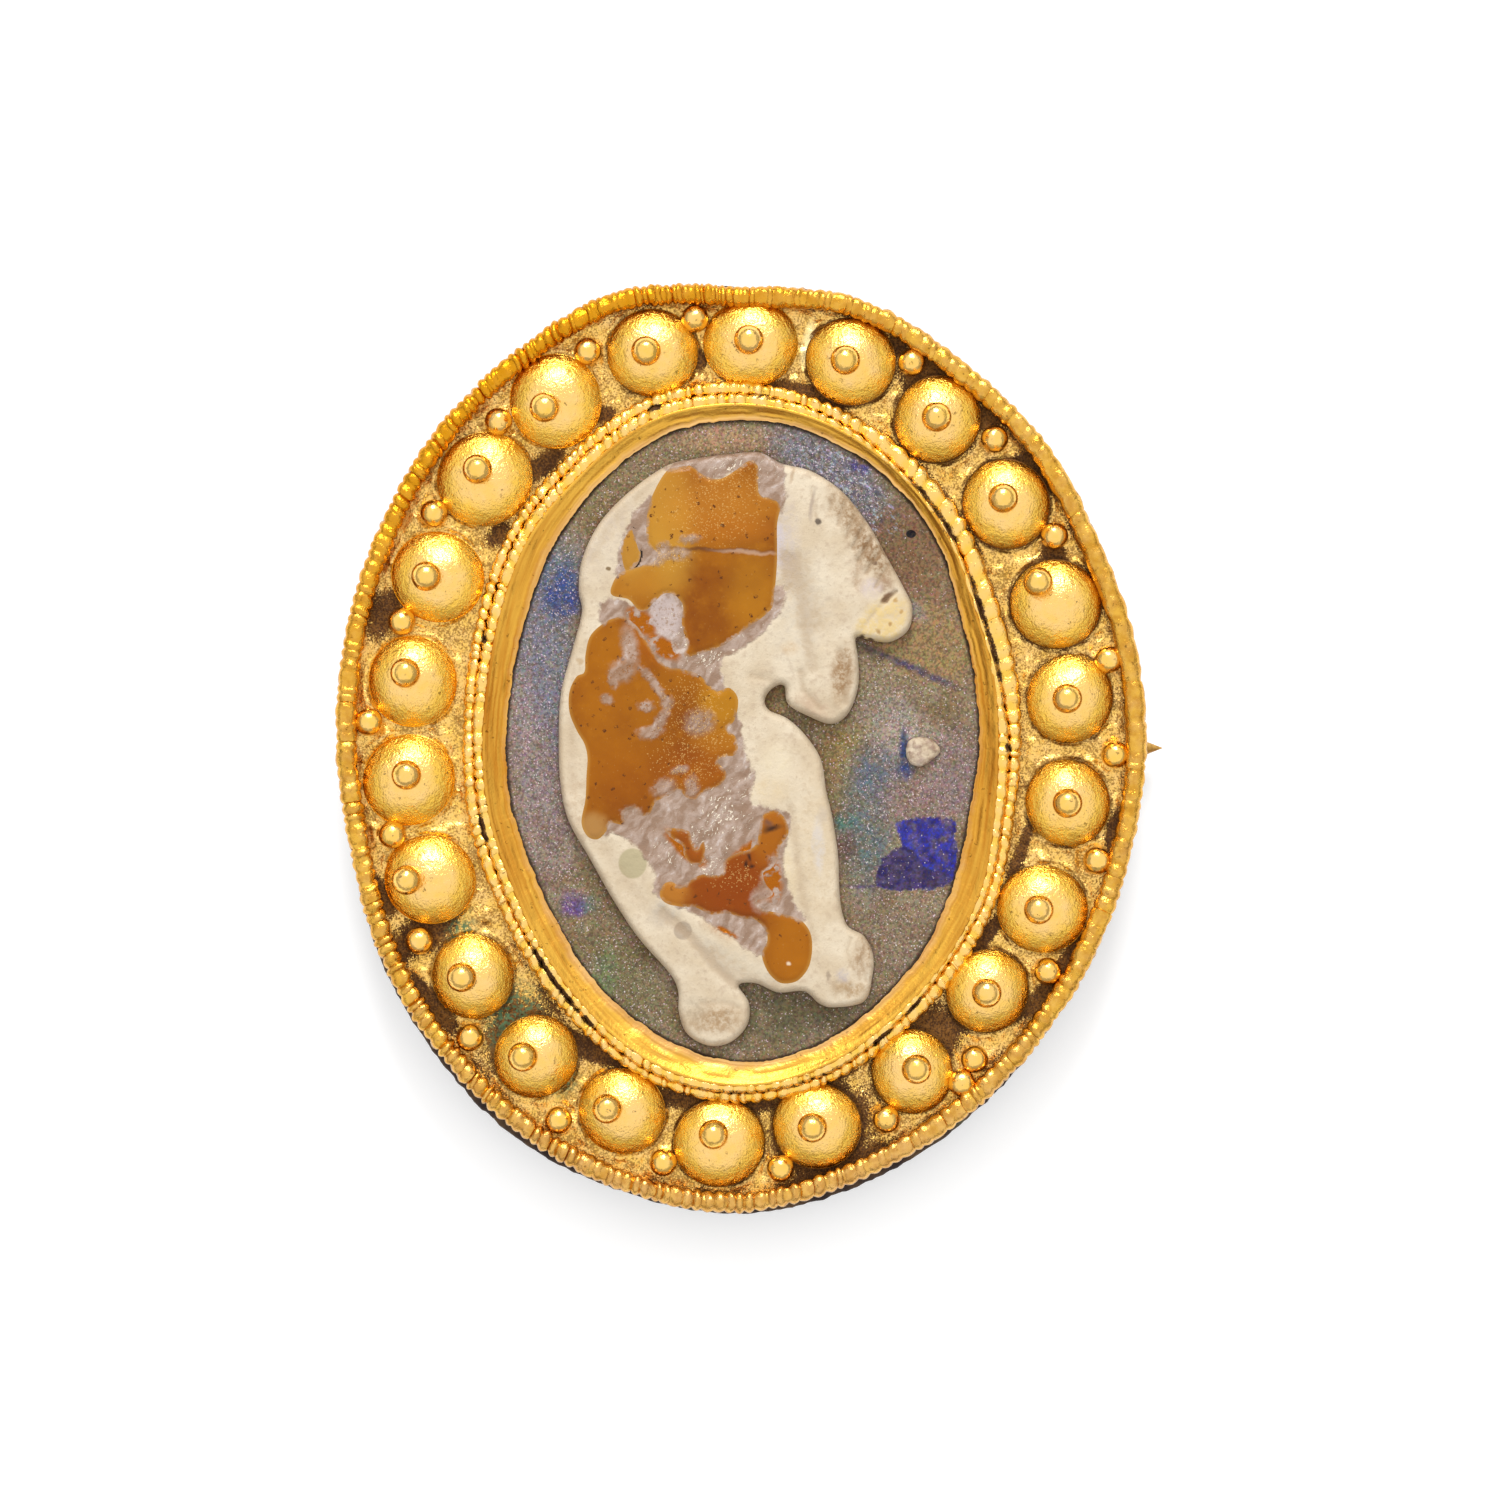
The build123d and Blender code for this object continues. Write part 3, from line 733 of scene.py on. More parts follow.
# Paler towards the lip as a painted highlight, deeper on the left and right flanks as painted shade
collar_finish = gold(
    "collar_gold", 0.38,
    lambda f: f.step(f.shade("lip"), 0.0, 0.08) * -0.3 + 0.3,
    lambda f: f.step(f.shade("lip"), 0.45, 1.0) * 1.1 - 0.1 - f.shade("flank") * 0.6,
)
along = collar_finish.node("CombineXYZ", {}, {"X": collar_finish.shade("lip") * 7.0})
along = collar_finish.node(
    "VectorMath", {"operation": "MULTIPLY_ADD"}, {0: collar_finish.place, 1: (0.25, 0.25, 0.0), 2: along}
)
streaks = collar_finish.noise(1.0, 5.0, 15.0, along)
# Darker along its streaks, and on the flanks as painted shade
collar_finish.set(
    Base_Color=collar_finish.mix(
        collar_finish.shade("flank") * 0.3 + collar_finish.step(streaks, 0.7, 0.25) * 0.45 + 0.2,
        collar_finish.colour, screen(204, 154, 104), "MULTIPLY",
    )
)
show(
    "collar", collar_points, collar_faces, collar_finish, "gold_mount",
    {"lip": lip_share, "flank": np.repeat(np.abs(np.cos(turn)) ** 3, collar_radii.shape[1], 1)},
)

# Collar wires
# Two beaded gold wires soldered round the collar's foot, the inner one on the shoulder of the
# outer one. Their beads are irregular and rubbed, with pits between the rows.
# Their grooves and the gap between them are darkened with soil and painted shade.

OUTER_WIRE_THICK = 1.0
INNER_WIRE_THICK = 0.7
INNER_WIRE_RISE = 0.4
WIRES_OVERLAP = 0.12

# Where soil and painted shade darken the facing sides of the two wires, in the gap between them
SLITS = [
    # angle, half its angle, how thick the soil and painted shade are
    (0.0, 1.0, 1.0),
    (24.0, 14.0, 0.8),
    (50.0, 8.0, 0.75),
    (86.0, 3.0, 0.6),
    (104.0, 1.0, 1.0),
    (157.0, 1.0, 1.0),
    (197.5, 3.0, 1.0),
    (231.0, 7.0, 1.0),
    (241.0, 1.4, 1.0),
    (275.0, 26.0, 0.5),
    (296.0, 2.0, 0.9),
    (304.0, 2.0, 0.9),
]

# Dark with soil and painted shade in the grooves and slits, and a deeper gold in the grooves as painted shade
wires_finish = gold(
    "wire_gold", 0.2,
    lambda f: f.shade("cut") * 0.25 + f.shade("slit") * 0.75,
    lambda f: 0.62 - f.shade("cut") * 1.1,
    0.03, 0.05,
)
outer_wire_z = sheet_top + OUTER_WIRE_THICK / 2 - SOLDER
inner_wire_z = outer_wire_z + INNER_WIRE_RISE
for name, outward, height, thick, seed, side in (
    ("outer_collar_wire", WIRES[:, 0] + 0.08, outer_wire_z, OUTER_WIRE_THICK, 41, -1),
    ("inner_collar_wire", WIRES[:, 1] + WIRES_OVERLAP, inner_wire_z, INNER_WIRE_THICK, 42, 1),
):
    inward = WIRES[:, 1] - WIRES_OVERLAP if side < 0 else WIRES[:, 2] - 0.08
    line = lambda angles: window_radius(angles) + smooth_round((outward + inward) / 2, angles)
    width = lambda angles: smooth_round(outward - inward, angles)
    points, faces, cut = beaded_wire(line, width, height, thick, BEADING[:, 2], BEADING[:, 3], seed)
    angles = np.degrees(np.arctan2(points[:, 1] - MIDDLE[1], points[:, 0] - MIDDLE[0])) % 360
    radii = np.hypot(points[:, 1] - MIDDLE[1], points[:, 0] - MIDDLE[0])
    facing = (radii - line(angles)) / (width(angles) / 2) * side
    slit = np.zeros(len(points))
    for angle, half_angle, thickness in SLITS:
        far = np.abs((angles - angle + 180) % 360 - 180) / half_angle
        slit = np.maximum(slit, np.clip(1.6 - far, 0, 1) * thickness)
    slit *= np.clip((facing - 0.15) / 0.3, 0, 1)
    show(name, points, faces, wires_finish, "gold_mount", {"cut": cut, "slit": slit})

# Bosses
# Twenty-two hollow domes pressed from gold sheet and soldered down, each with a granule on top.
# They are rubbed smooth and slightly dented, with soil at their feet and round the granules.

BOSS_FOOT = 0.35
BOSS_H = 1.35
GRANULE_D = 1.5
SEAT = 0.35


def turned(x, y, radii, heights, segments):
    """A turned shape on an upright axis, from its top point down to its flat bottom."""
    turn = np.arange(segments) / segments * 2 * pi
    points = [(x, y, heights[0])]
    for radius, height in zip(radii[1:], heights[1:]):
        points += [(x + radius * cos(t), y + radius * sin(t), height) for t in turn]
    here = 1 + np.arange(segments * (len(radii) - 1)).reshape(-1, segments)
    onward = np.roll(here, -1, 1)
    crown = np.stack([np.zeros(segments, int), here[0], onward[0]], -1)
    sides = np.stack([here[:-1], here[1:], onward[1:], onward[:-1]], -1).reshape(-1, 4)
    return np.array(points), [crown, sides, here[-1:, ::-1]]


def joined(parts):
    """Several shapes as one mesh."""
    points, faces, first = [], [], 0
    for part_points, part_faces in parts:
        points.append(part_points)
        faces += [f + first for f in part_faces]
        first += len(part_points)
    return np.concatenate(points), faces


def dome_height(share):
    """Height of a dome above its foot, at a share of its radius, as a share of its own height."""
    curve = 1.366
    low = (curve**2 - 1) ** 0.5
    return ((curve**2 - share**2) ** 0.5 - low) / (curve - low)


domes, edges, granules = [], [], []
dome_shares = np.sin(np.linspace(0, pi / 2, 26))
for (angle, _, _, side, up, soil, wide), (x, y, radius) in zip(BOSSES, boss_places):
    radii = np.append(dome_shares, 1.0) * radius
    heights = sheet_top + BOSS_FOOT + (BOSS_H - BOSS_FOOT) * dome_height(dome_shares)
    points, faces = turned(x, y, radii, np.append(heights, sheet_top - SOLDER), 96)
    off_x, off_y = points[:, 0] - x, points[:, 1] - y
    share = np.hypot(off_x, off_y) / radius
    points[:, 2] += (0.05 * lumps(points[:, 0], points[:, 1], 1.3, 51) - 0.045) * (share < 0.995)
    squash = 1 + 0.02 * np.cos(2 * (np.arctan2(off_y, off_x) - radians(angle * 7)))
    stretch = (off_y * cos(radians(angle)) - off_x * sin(radians(angle))) * (wide - 1)
    points[:, 0] = x + off_x * squash - stretch * sin(radians(angle))
    points[:, 1] = y + off_y * squash + stretch * cos(radians(angle))
    domes.append((points, faces))
    from_granule = np.hypot(off_x - side * radius, off_y - up * radius) - GRANULE_D / 2
    edges.append(np.stack([share, from_granule, np.full_like(share, soil)], -1))

    off_middle = min(hypot(side, up), 0.95)
    middle = sheet_top + BOSS_FOOT + (BOSS_H - BOSS_FOOT) * dome_height(off_middle) + SEAT
    turn = np.linspace(0, pi * 0.8, 18)
    granule_r = GRANULE_D / 2
    points, faces = turned(
        x + side * radius, y + up * radius, granule_r * np.sin(turn), middle + granule_r * np.cos(turn) - 0.01, 32
    )
    granules.append((points, faces))

dome_points, dome_faces = joined(domes)
edges = np.concatenate(edges)
dome_finish = gold(
    "boss_gold", 0.25,
    lambda f: f.step(f.shade("edge"), 0.95, 1.0) * f.shade("soil") * 0.9
    + f.step(f.shade("seat"), 0.16, -0.02) * f.step(f.noise(0.9, 2.0, 6.0), 0.4, 0.6) * 0.4,
    lambda f: f.step(f.shade("edge"), 0.82, 0.45) * 0.8 - 0.15,
    0.034, 0.05,
)
dome_finish.set(
    Base_Color=dome_finish.mix(
        dome_finish.step(dome_finish.shade("edge"), 0.84, 0.98) * dome_finish.shade("soil") * 0.55,
        dome_finish.colour, screen(140, 88, 36),
    )
)
show(
    "bosses", dome_points, dome_faces, dome_finish, "gold_mount",
    {"edge": edges[:, 0], "seat": edges[:, 1], "soil": edges[:, 2]},
)
granule_points, granule_faces = joined(granules)
granule_finish = gold("granule_gold", 0.2, lambda f: f.noise(0.5, 2.0, 9.0) * 0.3, lambda f: 0.45, 0.008)
show("boss_granules", granule_points, granule_faces, granule_finish, "gold_mount")

# Granules between the bosses
# Small gold balls, soldered in the corners that two bosses leave along the rim.

SPANDREL_GRANULE_D = 1.4
SPANDREL_GRANULES = [
    # angle, across
    (13.5, 0.92),
    (34.0, 0.81),
    (50.5, 0.83),
    (66.0, 0.89),
    (96.0, 0.85),
    (111.0, 0.78),
    (126.5, 0.77),
    (142.5, 0.76),
    (159.5, 0.68),
    (176.0, 0.89),
    (194.0, 0.77),
    (211.0, 0.80),
    (227.0, 0.87),
    (244.0, 0.87),
    (259.5, 0.82),
    (275.5, 0.84),
    (291.5, 0.74),
    (303.5, 0.91),
    (307.0, 0.80),
    (324.0, 0.86),
    (342.5, 0.90),
    (359.0, 0.91),
]
small = []
for angle, across in SPANDREL_GRANULES:
    x, y = across_band(angle, across)
    turn = np.linspace(0, pi / 2, 12)
    radius = SPANDREL_GRANULE_D / 2
    radii = np.append(radius * np.sin(turn), radius)
    heights = np.append(sheet_top + SEAT + radius * np.cos(turn), sheet_top - SOLDER)
    points, faces = turned(x, y, radii, heights, 32)
    points[:, 2] -= 0.03 * (1 + lumps(points[:, 0], points[:, 1], 0.5, 61)) * (points[:, 2] > sheet_top)
    small.append((points, faces))
small_points, small_faces = joined(small)
show("spandrel_granules", small_points, small_faces, granule_finish, "gold_mount")

# Glass ground
# An oval of dark glass under the lip, cast with the relief. Age has pitted it and given it a thin
# skin that flakes and glitters in many colours, over patches of blue, violet, olive and cobalt.
# Its flakes' glints, a contact shadow round the lion and a line of soil and shade along the lip are painted.

GLASS_MARGIN = 0.2
GROUND_MESH = 0.1


def smooth_loop(points, steps=8):
    """A closed smooth outline through points."""
    points = np.array(points, float)
    part = (np.arange(steps) / steps)[:, None]
    corners = (np.roll(points, -k, 0)[:, None] for k in (-1, 0, 1, 2))
    return smooth_between(*corners, part).reshape(-1, 2)


def nearest_on(x, y, line):
    """Distance to a line through points, and the nearest place on it."""
    best = np.full(np.shape(x), np.inf)
    near_x, near_y = np.zeros_like(best), np.zeros_like(best)
    for (ax, ay), (bx, by) in zip(line[:-1], line[1:]):
        run_x, run_y = bx - ax, by - ay
        share = np.clip(((x - ax) * run_x + (y - ay) * run_y) / (run_x**2 + run_y**2), 0, 1)
        on_x, on_y = ax + share * run_x, ay + share * run_y
        far = (x - on_x) ** 2 + (y - on_y) ** 2
        nearer = far < best
        best = np.where(nearer, far, best)
        near_x, near_y = np.where(nearer, on_x, near_x), np.where(nearer, on_y, near_y)
    return np.sqrt(best), near_x, near_y


def is_inside(x, y, loop):
    """Whether places are inside a closed outline."""
    inside = np.zeros(np.shape(x), bool)
    for (ax, ay), (bx, by) in zip(loop, np.roll(loop, -1, 0)):
        if ay != by:
            inside ^= ((ay > y) != (by > y)) & (x < ax + (y - ay) * (bx - ax) / (by - ay))
    return inside


def depth_inside(x, y, loop):
    """How far inside a closed outline places are, less than 0 outside it."""
    far = nearest_on(x, y, np.append(loop, loop[:1], 0))[0]
    return np.where(is_inside(x, y, loop), far, -far)


def relief(loop, mesh, bottom, height, pockets=(), pocket_floor=None):
    """A raised shape with upright sides: a fine square mesh laid to its outline and its pockets."""
    low, high = loop.min(0) - mesh, loop.max(0) + mesh
    x, y = np.meshgrid(np.arange(low[0], high[0] + mesh, mesh), np.arange(low[1], high[1] + mesh, mesh))
    middle_x, middle_y = x[:-1, :-1] + mesh / 2, y[:-1, :-1] + mesh / 2
    kept = is_inside(middle_x, middle_y, loop)
    for pocket in pockets:
        kept &= ~is_inside(middle_x, middle_y, pocket)
    for _ in range(3):
        lone = kept[:-1, :-1] & kept[1:, 1:] & ~kept[1:, :-1] & ~kept[:-1, 1:]
        kept[1:, :-1] |= lone
        lone = kept[1:, :-1] & kept[:-1, 1:] & ~kept[:-1, :-1] & ~kept[1:, 1:]
        kept[:-1, :-1] |= lone
    here = np.arange(x.size).reshape(x.shape)
    cells = np.stack([here[:-1, :-1], here[:-1, 1:], here[1:, 1:], here[1:, :-1]], -1)[kept]
    used, cells = np.unique(cells, return_inverse=True)
    cells = cells.reshape(-1, 4)
    x, y = x.ravel()[used], y.ravel()[used]

    edges = np.stack([cells, np.roll(cells, -1, 1)], -1).reshape(-1, 2)
    border = edges[~np.isin(edges[:, 0] * len(used) + edges[:, 1], edges[:, 1] * len(used) + edges[:, 0])]
    onward = dict(border.tolist())
    rings = []
    while onward:
        start, after = onward.popitem()
        ring_of = [start]
        while after != start:
            ring_of.append(after)
            after = onward.pop(after)
        rings.append(np.array(ring_of))

    points = [np.stack([x, y], -1)]
    faces = [cells]
    floors = []
    count = len(used)
    for ring_of in rings:
        ring_x, ring_y = x[ring_of], y[ring_of]
        outer = np.sum(ring_x * np.roll(ring_y, -1) - np.roll(ring_x, -1) * ring_y) > 0
        outlines = [loop] if outer else pockets
        found = [nearest_on(ring_x, ring_y, np.append(line, line[:1], 0)) for line in outlines]
        _, near_x, near_y = found[int(np.argmin([far.mean() for far, _, _ in found]))]
        points[0][ring_of] = np.stack([near_x, near_y], -1)
        lower = count + np.arange(len(ring_of))
        points.append(np.stack([near_x, near_y], -1))
        floors.append(np.full(len(ring_of), bottom if outer else pocket_floor))
        faces.append(np.stack([np.roll(ring_of, -1), ring_of, lower, np.roll(lower, -1)], -1))
        faces.append(lower[None, ::-1])
        count += len(ring_of)
    top = height(points[0][:, 0], points[0][:, 1])
    flat = np.concatenate(points)
    return np.column_stack([flat, np.concatenate([top, *floors])]), faces


# Bubbles burst at the surface of the ground
BUBBLES_PX = [
    # x, y, radius
    (773, 1028, 6), (535, 800, 5), (547, 868, 5), (911, 534, 4), (884, 625, 3), (893, 650, 3),
    (905, 640, 3), (930, 642, 3), (940, 650, 4), (925, 655, 3), (950, 905, 3), (612, 1000, 4),
    (540, 700, 3), (560, 950, 4), (700, 430, 3), (600, 505, 3), (955, 700, 3), (870, 960, 4),
]
ground_bottom = level("glass_ground", 0)


def ground_height(x, y):
    """Top of the weathered ground."""
    height = glass_top - 0.05 + 0.035 * lumps(x, y, 2.4, 71) + 0.012 * lumps(x, y, 0.5, 72)
    for bubble_x, bubble_y, radius in BUBBLES_PX:
        middle_x, middle_y = photo(bubble_x, bubble_y)
        far = np.hypot(x - middle_x, y - middle_y) / (radius * 0.05)
        height += 0.03 * np.exp(-((far - 1.2) ** 2) * 6) - 0.12 * np.exp(-far**2 * 2)
    return height


ground_turn = np.radians(np.arange(360))
ground_radius = window_radius(np.arange(360)) + GLASS_MARGIN
ground_loop = np.stack([
    MIDDLE[0] + ground_radius * np.cos(ground_turn), MIDDLE[1] + ground_radius * np.sin(ground_turn)
], -1)
ground_points, ground_faces = relief(ground_loop, GROUND_MESH, ground_bottom, ground_height)

# Coloured patches of the ground, the broad ones first, and how thick the glitter is on each
GROUND_PX = [
    # x, y, half width, half height, turn, softness, colour, strength, glitter
    (540, 740, 34, 130, 4, 0.6, screen(156, 138, 142), 0.8, 0.5),
    (548, 655, 28, 80, 8, 0.6, screen(122, 126, 142), 0.85, 0.7),
    (640, 470, 90, 26, 32, 0.6, screen(144, 124, 88), 0.8, 0.5),
    (728, 440, 52, 13, 0, 0.5, screen(186, 150, 114), 0.8, 0.3),
    (832, 478, 74, 28, -38, 0.35, screen(126, 126, 140), 0.9, 1.0),
    (925, 556, 40, 52, 20, 0.5, screen(142, 110, 80), 1.0, 0.1),
    (903, 546, 30, 42, 20, 0.4, screen(136, 104, 76), 0.9, 0.05),
    (911, 534, 5, 4, 0, 0.1, screen(28, 26, 32), 1.0, 0.0),
    (775, 700, 16, 16, 0, 0.5, screen(158, 132, 92), 0.9, 0.0),
    (922, 640, 56, 36, -25, 0.25, screen(168, 138, 94), 1.0, 0.0),
    (900, 604, 26, 9, -30, 0.5, screen(158, 156, 160), 0.8, 0.6),
    (858, 745, 30, 56, 10, 0.6, screen(156, 130, 74), 0.9, 0.4),
    (880, 712, 34, 22, 0, 0.8, screen(156, 148, 142), 0.6, 0.5),
    (905, 735, 30, 20, 0, 0.7, screen(186, 170, 156), 0.75, 0.6),
    (868, 825, 24, 70, 0, 0.6, screen(98, 116, 120), 0.9, 0.6),
    (880, 770, 26, 24, 0, 0.7, screen(88, 104, 136), 0.6, 0.6),
    (925, 800, 50, 22, 0, 0.6, screen(150, 126, 122), 0.8, 0.6),
    (955, 770, 26, 40, 0, 0.7, screen(148, 126, 132), 0.7, 0.6),
    (846, 846, 11, 12, 0, 0.6, screen(112, 80, 78), 0.8, 0.4),
    (844, 822, 11, 8, 0, 0.6, screen(74, 124, 112), 0.8, 0.4),
    (905, 950, 50, 60, 20, 0.6, screen(144, 124, 104), 0.7, 0.5),
    (790, 1015, 60, 30, 0, 0.7, screen(106, 100, 74), 0.85, 0.2),
    (620, 985, 34, 60, 28, 0.6, screen(122, 118, 86), 0.7, 0.5),
    (605, 975, 10, 20, 0, 0.8, screen(96, 130, 84), 0.6, 0.5),
    (560, 575, 30, 36, 20, 0.7, screen(92, 112, 136), 0.8, 0.8),
    (563, 597, 20, 20, 0, 0.5, screen(58, 76, 138), 0.9, 0.6),
    (566, 575, 10, 12, 0, 0.6, screen(74, 92, 144), 0.7, 0.6),
    (575, 905, 13, 11, 0, 0.6, screen(104, 78, 146), 0.9, 0.4),
    (590, 905, 9, 9, 0, 0.8, screen(96, 124, 100), 0.6, 0.4),
    (860, 468, 9, 6, -30, 0.5, screen(56, 54, 140), 0.8, 0.4),
    (911, 667, 46, 4, -24, 0.6, screen(46, 50, 104), 0.8, 0.3),
    (904, 752, 5, 24, 3, 0.5, screen(32, 62, 116), 0.9, 0.1),
    (905, 770, 8, 8, 0, 0.7, screen(48, 70, 130), 0.7, 0.2),
    (898, 886, 52, 2, 1, 0.8, screen(84, 62, 124), 0.8, 0.2),
]
COBALT_PX = [(898, 821), (951, 818), (956, 836), (958, 859), (945, 887), (878, 887), (884, 858), (901, 845)]
COBALT_DARK_PX = [(884, 858), (901, 845), (916, 852), (925, 868), (944, 872), (944, 887), (878, 887)]


def traced(outline):
    """An outline in pixels of the photograph as a closed one in mm."""
    return smooth_loop([photo(x, y) for x, y in outline])


# The lion stands upright with its head bent to the right, clockwise from the top of its mane
LION_PX = [
    (782, 464), (812, 472), (843, 493), (869, 526), (886, 556), (903, 587), (912, 608), (908, 630),
    (890, 642), (869, 640), (856, 638), (858, 660), (858, 686), (849, 712), (832, 724), (808, 716),
    (788, 704), (784, 686), (773, 688), (765, 699), (769, 710), (788, 719), (806, 736), (821, 760),
    (826, 790), (832, 816), (838, 855), (840, 899), (847, 925), (864, 936), (873, 955), (872, 977),
    (864, 1001), (834, 1007), (819, 1003), (804, 991), (778, 992), (756, 983), (739, 985),
    (749, 1003), (747, 1025), (730, 1042), (708, 1045), (687, 1033), (679, 1012), (678, 990),
    (669, 972), (639, 938), (613, 899), (591, 860), (569, 821), (561, 786), (559, 747), (561, 695),
    (572, 652), (582, 613), (579, 591), (582, 561), (598, 526), (626, 495), (665, 467), (695, 459),
    (734, 454), (760, 453),
]

lion_loop = traced(LION_PX)


ground_finish = Finish("weathered_ground", {"Specular IOR Level": 0.1})
flakes = cells(ground_finish, 0.055, 1.0)
coarse = cells(ground_finish, 0.14, 5.0)
cloud = ground_finish.noise(1.7, 4.0, 3.0)
grit = ground_finish.noise(0.12, 3.0, 9.0)
colour = ground_finish.mix(
    ground_finish.step(cloud, 0.35, 0.65), screen(132, 110, 74), screen(156, 136, 108)
)
ragged = ground_finish.warped(0.6, 0.3, 4.0)
broken = ground_finish.step(ground_finish.noise(0.4, 5.0, 10.0), 0.36, 0.56) * 0.5 + 0.5
glitter = 0.4
for x, y, half_width, half_height, turn, soft, tint, strength, glitter_here in GROUND_PX:
    spot = patch(ground_finish, x, y, half_width, half_height, turn, soft, ragged if soft > 0.2 else None)
    if soft > 0.2:
        spot = spot * broken
    colour = ground_finish.mix(spot * strength, colour, tint)
    glitter = spot * (glitter_here - glitter) + glitter
band = patch(ground_finish, 846, 486, 66, 24, -40, 0.3, ragged)
stretched = ground_finish.node("Mapping", {"vector_type": "TEXTURE"}, {
    "Vector": ground_finish.place, "Rotation": (0.0, 0.0, radians(-40)), "Scale": (1.6, 0.8, 1.0),
})
silver = ground_finish.noise(0.2, 4.0, 21.0, stretched)
colour = ground_finish.mix(band * ground_finish.step(silver, 0.5, 0.36) * 0.6, colour, screen(62, 62, 84))
colour = ground_finish.mix(band * ground_finish.step(silver, 0.54, 0.64) * 0.8, colour, screen(184, 190, 210))
edge_noise = (ground_finish.noise(0.25, 3.0, 6.0) - 0.5) * 0.3
cobalt = ground_finish.step(ground_finish.shade("cobalt") + edge_noise * 1.8, -0.05, 0.12)
uneven = ground_finish.noise(0.35, 4.0, 18.0)
cobalt_blue = ground_finish.mix(
    ground_finish.step(uneven, 0.35, 0.65), screen(26, 26, 118), screen(42, 54, 178)
)
worn_off = ground_finish.step(ground_finish.noise(0.5, 4.0, 19.0), 0.4, 0.7) * 0.45
colour = ground_finish.mix(cobalt * (0.95 - worn_off), colour, cobalt_blue)
notch = ground_finish.step(ground_finish.shade("cobalt_dark") + edge_noise * 2, -0.05, 0.1)
colour = ground_finish.mix(
    notch * 0.8, colour, ground_finish.mix(ground_finish.step(uneven, 0.4, 0.6), screen(84, 70, 112), screen(38, 30, 62))
)
colour = ground_finish.mix(ground_finish.step(grit, 0.58, 0.38) * 0.55, colour, screen(66, 52, 40))
colour = ground_finish.mix(0.3, colour, ground_finish.mix(0.5, (0.5, 0.5, 0.5), coarse), "OVERLAY")
colour = ground_finish.mix(0.3, colour, ground_finish.mix(0.35, (0.5, 0.5, 0.5), flakes), "OVERLAY")
# A painted contact shadow on the ground along the lion's edge
joint = ground_finish.step(ground_finish.shade("joint") + edge_noise * 0.3, 0.16, 0.02)
colour = ground_finish.mix(joint * 0.35, colour, screen(94, 62, 42))
# The flakes' glints, painted on as pale specks: painted highlights
twinkle = channel(ground_finish, flakes, "Red")
sparkle = ground_finish.step(twinkle + glitter * (1 - cobalt * 0.7) * 0.19, 0.99, 1.02)
colour = ground_finish.mix(
    sparkle * (channel(ground_finish, flakes, "Blue") * 0.6 + 0.05), colour, ground_finish.mix(0.2, screen(240, 232, 226), flakes)
)
# A dark line of soil and painted shade along the lip's edge
soil_and_shade_at_lip = ground_finish.step(ground_finish.shade("lip") + edge_noise * 0.4, 0.2, 0.03)
colour = ground_finish.mix(soil_and_shade_at_lip * 0.85, colour, screen(54, 38, 26))
ground_finish.set(
    Base_Color=colour,
    Roughness=0.45 + channel(ground_finish, flakes, "Green") * 0.3,
    Normal=ground_finish.bump(
        twinkle, 0.01, ground_finish.bump(grit, 0.03, ground_finish.bump(cloud, 0.06))
    ),
)
ground_x, ground_y = ground_points[:, 0] - MIDDLE[0], ground_points[:, 1] - MIDDLE[1]
show(
    "glass_ground", ground_points, ground_faces, ground_finish, "glass_ground",
    {
        "cobalt": depth_inside(ground_points[:, 0], ground_points[:, 1], traced(COBALT_PX)),
        "cobalt_dark": depth_inside(ground_points[:, 0], ground_points[:, 1], traced(COBALT_DARK_PX)),
        "joint": -depth_inside(ground_points[:, 0], ground_points[:, 1], lion_loop),
        "lip": window_radius(np.degrees(np.arctan2(ground_y, ground_x))) - np.hypot(ground_x, ground_y),
    },
)

# White lion
# The figure, in opaque white glass fused on the ground and ground down at its edges. The surface
# is matt and stained, and where the white has decayed it is a lavender crust with bright flakes.
# The crust's bright fibres are painted highlights, and a few stains are painted shade.

LION_MESH = 0.07
FIGURE_FOOT = 0.3
BEVEL = 0.36

